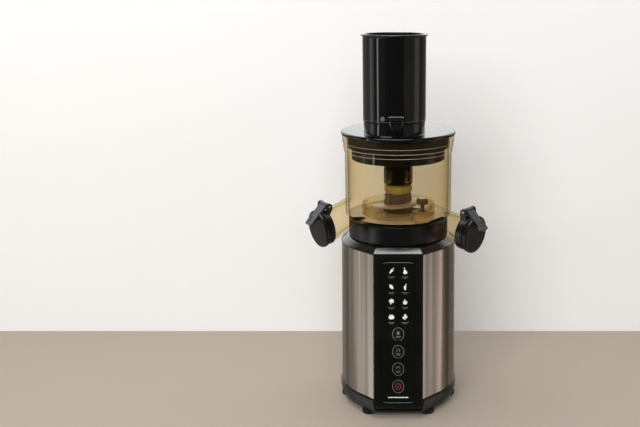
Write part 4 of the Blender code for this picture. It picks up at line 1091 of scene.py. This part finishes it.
def make_lid():
    """The gloss disc, its neck, the skirt inside the bowl, and the hub on its bridge."""
    profile = rounded([
        (30, BOWL_RIM + 0.3), (LID_RADIUS - 0.6, BOWL_RIM + 0.3), (LID_RADIUS, BOWL_RIM + 1.2),
        (LID_RADIUS, LID_TOP - 1.1), (LID_RADIUS - 1.4, LID_TOP - 0.15), (LID_RADIUS - 3, LID_TOP),
        (30, LID_TOP),
    ], [0, 0.5, 0.6, 1, 0.8, 0.5, 0], closed=False)
    disc = turned("gloss_lid", profile, GLOSS, 200, closed=False)
    skirt = rounded([(55.4, 304), (55.4, 335), (53, 335), (53, 304)], [0.8, 0, 0, 0.8])
    cut_turned(disc, skirt, operation="UNION", closed=True)
    top = SEAM - 0.3
    wide = NECK_RADIUS + 0.8
    neck = rounded([
        (30, 335), (wide, 335), (wide, LID_TOP - 0.02), (NECK_RADIUS, LID_TOP + 0.8),
        (NECK_RADIUS, top - 2.2), (wide, top - 1.5), (wide, top), (30, top),
    ], [0, 0, 0.1, 0.5, 0.4, 0.6, 0.5, 0], 5, closed=False)
    cut_turned(disc, neck, centre=CHUTE_CENTRE, operation="UNION")
    cut_turned(disc, [(32.9, 320), (32.9, 360)], centre=CHUTE_CENTRE)
    cut_turned(disc, [(19.5, 327.5), (19.5, 334.5)], 96, operation="UNION")
    add_block(disc, (-7, 0, 328.5), (7, 45, 334.5))
    place(resmooth(disc, 0.35, 30), "lid_body", "gloss_black", "lid")


def make_gasket():
    low, high = mm_box("lid_gasket")
    inner = 55.8
    top = BOWL_RIM - 0.3
    profile = rounded([
        (inner, low.z), (high.x, low.z), (high.x - 0.9, (low.z + high.z) / 2), (high.x, high.z),
        (high.x - 0.4, high.z + 0.6), (high.x - 0.4, top), (inner, top),
    ], [0.3, 0.9, 0.5, 0.5, 0.3, 0.4, 0.3])
    place(turned("lid_seal_ring", profile, DARK_SEAL), "lid_body", "silicone", "lid_gasket")


def make_hub_tube():
    """The smoked tube round the stem, and the black bush at its top."""
    low, high = mm_box("hub_tube")
    outer, low, high = high.x, low.z, high.z
    inner = outer - 2.6
    profile = rounded([
        (inner, low), (outer - 0.3, low), (outer, low + 1.6), (outer, high), (inner, high),
    ], [0.5, 0.6, 0.6, 0.2, 0.2])
    place(turned("tinted_hub_tube", profile, SMOKED, 120), "lid_body", "smoked_plastic", "hub_tube")
    low, high = mm_box("stem_bush")
    profile = rectangle(8.3, low.z, high.x, high.z, 0.5, 3)
    place(turned("black_stem_bush", profile, GLOSS, 96), "lid_body", "gear_nylon", "stem_bush")


def make_hopper():
    """The feed chute with its rolled lip, the ears for the latch, its pin and the seam's bead, which is grey
    as a painted highlight.
    """
    inner = CHUTE_RADIUS - CHUTE_WALL
    profile = rounded([
        (32.4, 340), (32.6, SEAM), (CHUTE_RADIUS, SEAM), (CHUTE_RADIUS, CHUTE_TOP - 2.9),
        (38, CHUTE_TOP - 1.9), (38.2, CHUTE_TOP - 0.8), (37.2, CHUTE_TOP), (inner + 0.9, CHUTE_TOP),
        (inner, CHUTE_TOP - 1.4), (inner, SEAM + 3), (30.4, SEAM), (30.4, 340),
    ], [0.3, 0.1, 0.5, 0.9, 0.6, 0.6, 0.6, 0.8, 0.8, 1, 1, 0.3])
    tube = turned("feed_chute", profile, GLOSS, 192, CHUTE_CENTRE)
    front = CHUTE_CENTRE[1] - CHUTE_RADIUS
    for x in (LATCH_X - 10.6, LATCH_X + 8):
        add_block(tube, (x, front - 4.4, EARS[0]), (x + 2.6, front + 2.2, EARS[1]), 0.8)
    boolean(tube, latch_rod("hole", 1.25, 15, GLOSS))
    place(resmooth(tube, 0.3), "hopper_body", "gloss_black", "hopper")
    place(latch_rod("latch_hinge_pin", 1, 10.4, PLATED), "hopper_body", "plated_steel", "latch_pin")
    # Painted highlight: a grey bead round the chute where it meets the neck stands for the light line the
    # seam catches.
    root, crest = CHUTE_RADIUS - 0.4, CHUTE_RADIUS + 0.12
    bead = [(root, SEAM + 0.1), (crest, SEAM + 0.25), (crest, SEAM + 0.65), (root, SEAM + 0.8)]
    bead = rounded(bead, 0.05, 2)
    place(turned("chute_seam_highlight_bead", bead, SEAM_HIGHLIGHT_GREY, 192, CHUTE_CENTRE), "hopper_body", "gloss_black")


def make_locking_bump():
    """The small round button beside the latch, grey as a painted highlight."""
    x, z = -17.3, 357.6
    wide, tall = 2.9, 2.1
    dx = x - CHUTE_CENTRE[0]
    dy = -sqrt(CHUTE_RADIUS ** 2 - dx ** 2)
    out = Vector((dx, dy, 0)).normalized().to_track_quat("X", "Z").to_matrix().to_4x4()
    here = Matrix.Translation((x, CHUTE_CENTRE[1] + dy, z)) @ out
    dome = [(wide * cos(radians(a)), tall * sin(radians(a))) for a in range(0, 90, 9)]
    profile = [(wide, -0.6)] + dome + [(0.15, tall)]
    # Painted highlight: the grey dome stands for the glint the button catches.
    place(turned_x("locking_bump", profile, BUMP_HIGHLIGHT_GREY, here, 40, closed=False), "hopper_body", "gloss_black")


def latch_rod(name, radius, half, mat):
    """A rod on the latch's hinge line."""
    y, z = LATCH_PIVOT
    rings = []
    for x in (LATCH_X - half, LATCH_X + half):
        rings.append([(x, y + dy, z + dz) for dy, dz in oval(radius, radius, 36)])
    return skin(name, rings, mat)


def make_latch():
    """The clip: a rolled top on the hinge, a frame round two windows and a narrowed tongue."""
    low, high = LATCH_LOW.z, LATCH_PIVOT[1]
    back, front = LATCH_HIGH.y, LATCH_LOW.y
    half = LATCH_HIGH.x - LATCH_X
    outline = rounded([
        (-half, high), (-half, LATCH_WAIST), (-4.4, low), (4.4, low), (half, LATCH_WAIST), (half, high),
    ], [0.4, 3, 1.5, 1.5, 3, 0.4], 5)
    middle = (low + high) / 2
    rings = []
    for y, shrink in ((back, 0.5), (back - 0.4, 0), (front + 0.9, 0), (front + 0.3, 0.5), (front, 1)):
        scale_x, scale_z = 1 - shrink / half, 1 - shrink / (high - middle)
        rings.append([(LATCH_X + x * scale_x, y, middle + (z - middle) * scale_z) for x, z in outline])
    clip = skin("latch_clip", rings, SHOULDER)
    boolean(clip, latch_rod("roll", LATCH_BARREL, half, GLOSS), "UNION")
    for x in (LATCH_X - 3.2, LATCH_X + 2.2):
        cut_block(clip, (x - 1.2, -90, LATCH_WINDOWS[0]), (x + 1.2, -40, LATCH_WINDOWS[1]))
    boolean(clip, latch_rod("bore", 1.3, 15, GLOSS))
    place(resmooth(clip, 0.3, segments=3), "latch_body", "gloss_black", "chute_latch")


# ---- studio

CAMERA_PLACE = (0, -1.042, 0.502)
CAMERA_PITCH = 14.35
CAMERA_SHIFT = -0.1222
WALL_Y = 0.208
WALL_REACH = 4
WALL_HEIGHT = 3
TABLE_RADIUS = 6
ROOM_STRENGTH = 5
# The heights, as the sine of the elevation, over which one kind of band fades into the next.
CEILING_START = (0.02, 0.08)
CEILING_END = (0.45, 0.7)
# Each band of light: its bearing in degrees, 0 being the front, and its colour in percent.
ROOM_BANDS = (
    (-180, (26, 24, 22)), (-150, (26, 24, 21)), (-112, (30, 28, 24)), (-101, (50, 47, 43)),
    (-97, (130, 125, 118)), (-89, (125, 120, 114)), (-86, (46, 43, 40)), (-82, (86, 82, 78)),
    (-79, (14, 14, 14)), (-66.5, (12, 12, 12)), (-65, (440, 440, 440)), (-61.5, (440, 440, 440)),
    (-60, (14, 15, 17.5)), (-34, (12, 13, 15)), (-31, (5, 5, 5)), (33, (5, 5, 5)), (37, (22, 22, 20)),
    (76, (24, 23, 21)), (80, (60, 53, 48)), (88, (92, 81, 74)), (91, (46, 39, 34)), (94, (95, 83, 75)),
    (101, (58, 49, 43)), (106, (16, 13, 10)), (150, (20, 18, 15)), (180, (26, 24, 22)),
)
CEILING_BANDS = (
    (-180, (155, 155, 155)), (-138, (150, 150, 150)), (-116, (10, 10, 10)), (-90, (7, 7, 7)),
    (90, (6, 6, 6)), (116, (10, 10, 9.5)), (138, (140, 138, 135)), (180, (155, 155, 155)),
)


def make_camera():
    data = bpy.data.cameras.new("photo_camera")
    data.lens = 50
    data.sensor_width = 36
    data.shift_x = CAMERA_SHIFT
    camera = new_object("photo_camera", data)
    camera.location = CAMERA_PLACE
    camera.rotation_euler = (radians(90 - CAMERA_PITCH), 0, 0)
    bpy.context.scene.camera = camera


def area_light(name, where, towards, size, power):
    data = bpy.data.lights.new(name, "AREA")
    data.shape = "RECTANGLE"
    data.size, data.size_y = size
    data.energy = power
    lamp = new_object(name, data)
    lamp.location = where
    lamp.rotation_euler = (Vector(towards) - Vector(where)).to_track_quat("-Z", "Y").to_euler()
    lamp.visible_camera = False
    return lamp


def sheet(name, corners, mat):
    """A single flat face through corner points in metres, facing its counter-clockwise side."""
    mesh = bpy.data.meshes.new(name)
    mesh.from_pydata(corners, [], [tuple(range(len(corners)))])
    mesh.materials.append(mat)
    return new_object(name, mesh)


def band_ramp(nodes, share, bands):
    """Upright bands of light round the object, each at its bearing from the front."""
    ramp = nodes.new("ShaderNodeValToRGB")
    feed(ramp, {"Fac": share})
    stops = ramp.color_ramp.elements
    stops.remove(stops[-1])
    for index, (degrees, colour) in enumerate(bands):
        position = (degrees + 180) / 360
        stop = stops[0] if index == 0 else stops.new(position)
        stop.position = position
        stop.color = (*(c / 100 / ROOM_STRENGTH for c in colour), 1)
    return ramp.outputs["Color"]


def make_room():
    """A dim studio round the object, paler at its sides and with one narrow bright strip on the left."""
    world = bpy.data.worlds.new("room")
    world.use_nodes = True
    bpy.context.scene.world = world
    nodes = world.node_tree.nodes
    parts = nodes.new("ShaderNodeSeparateXYZ")
    feed(parts, {"Vector": add(nodes, "TexCoord", "Generated")})
    side, back, up = parts.outputs
    ahead = add(nodes, "Math", "Value", {0: back, 1: -1}, operation="MULTIPLY")
    bearing = add(nodes, "Math", "Value", {0: side, 1: ahead}, operation="ARCTAN2")
    share = spread(nodes, bearing, 0, 1, -pi, pi)
    lift = spread(nodes, up, 0, 1, *CEILING_START)
    around = mixed(nodes, lift, band_ramp(nodes, share, ROOM_BANDS), band_ramp(nodes, share, CEILING_BANDS))
    fade = spread(nodes, up, 0, 1, *CEILING_END)
    dim = nodes["Background"]
    feed(dim, {"Color": mixed(nodes, fade, around, (0.03, 0.03, 0.03)), "Strength": ROOM_STRENGTH})
    pale = add(nodes, "Background", "Background", {"Color": (0.86, 0.86, 0.86), "Strength": 1})
    seen = add(nodes, "LightPath", "Is Camera Ray")
    show_mix(nodes, "World Output", seen, dim.outputs["Background"], pale)


def make_studio():
    """A pale table up to a white wall close behind the object, and soft lamps."""
    paint = plain_surface("table_paint", (0.4, 0.34, 0.285))
    floor = sheet("pale_table", [(x, y, 0) for x, y in oval(TABLE_RADIUS, TABLE_RADIUS, 96)], paint)
    paint = plain_surface("wall_paint", (0.9, 0.9, 0.895), one_sided=True)
    corners = [(x, WALL_Y, z) for x, z in rectangle(-WALL_REACH, 0, WALL_REACH, WALL_HEIGHT)]
    wall = sheet("white_wall", corners, paint)
    floor.visible_glossy = False
    wall.visible_glossy = False
    make_room()
    area_light("overhead", (-0.2, -0.2, 2), (0, 0, 0.2), (1.15, 1.15), 20)
    fill = area_light("front_fill", (-0.5, -2.3, 1.5), (0, 0.2, 0.3), (2.4, 1.4), 69)
    fill.visible_glossy = False


def paint_cad_nodes():
    """Every CAD node that still shows gets the procedural material of its slot."""
    slots = {part["node"]: part["material_slot"] for part in frame["record"]["subparts"]}
    for name, obj in frame["nodes"].items():
        obj.data.materials.clear()
        obj.data.materials.append(CAD_MATERIALS[slots[name]])


def colour_settings():
    view = bpy.context.scene.view_settings
    view.view_transform = "Standard"
    bpy.context.scene.cycles.transparent_max_bounces = 24


make_camera()
make_studio()
colour_settings()
paint_cad_nodes()
make_skirt()
make_feet()
make_screws()
make_steel()
make_front_column()
make_control_plate()
make_icons()
make_buttons()
make_shoulder()
make_inlet()
make_bowl()
make_bowl_ring()
make_strainer()
make_outlet_valve()
for side_name, side_spout in SPOUTS.items():
    make_spout_end(side_name, side_spout)
    make_cap(side_name, side_spout)
    make_strap(side_name, side_spout)
make_auger()
make_auger_top()
make_lid()
make_gasket()
make_hub_tube()
make_hopper()
make_locking_bump()
make_latch()
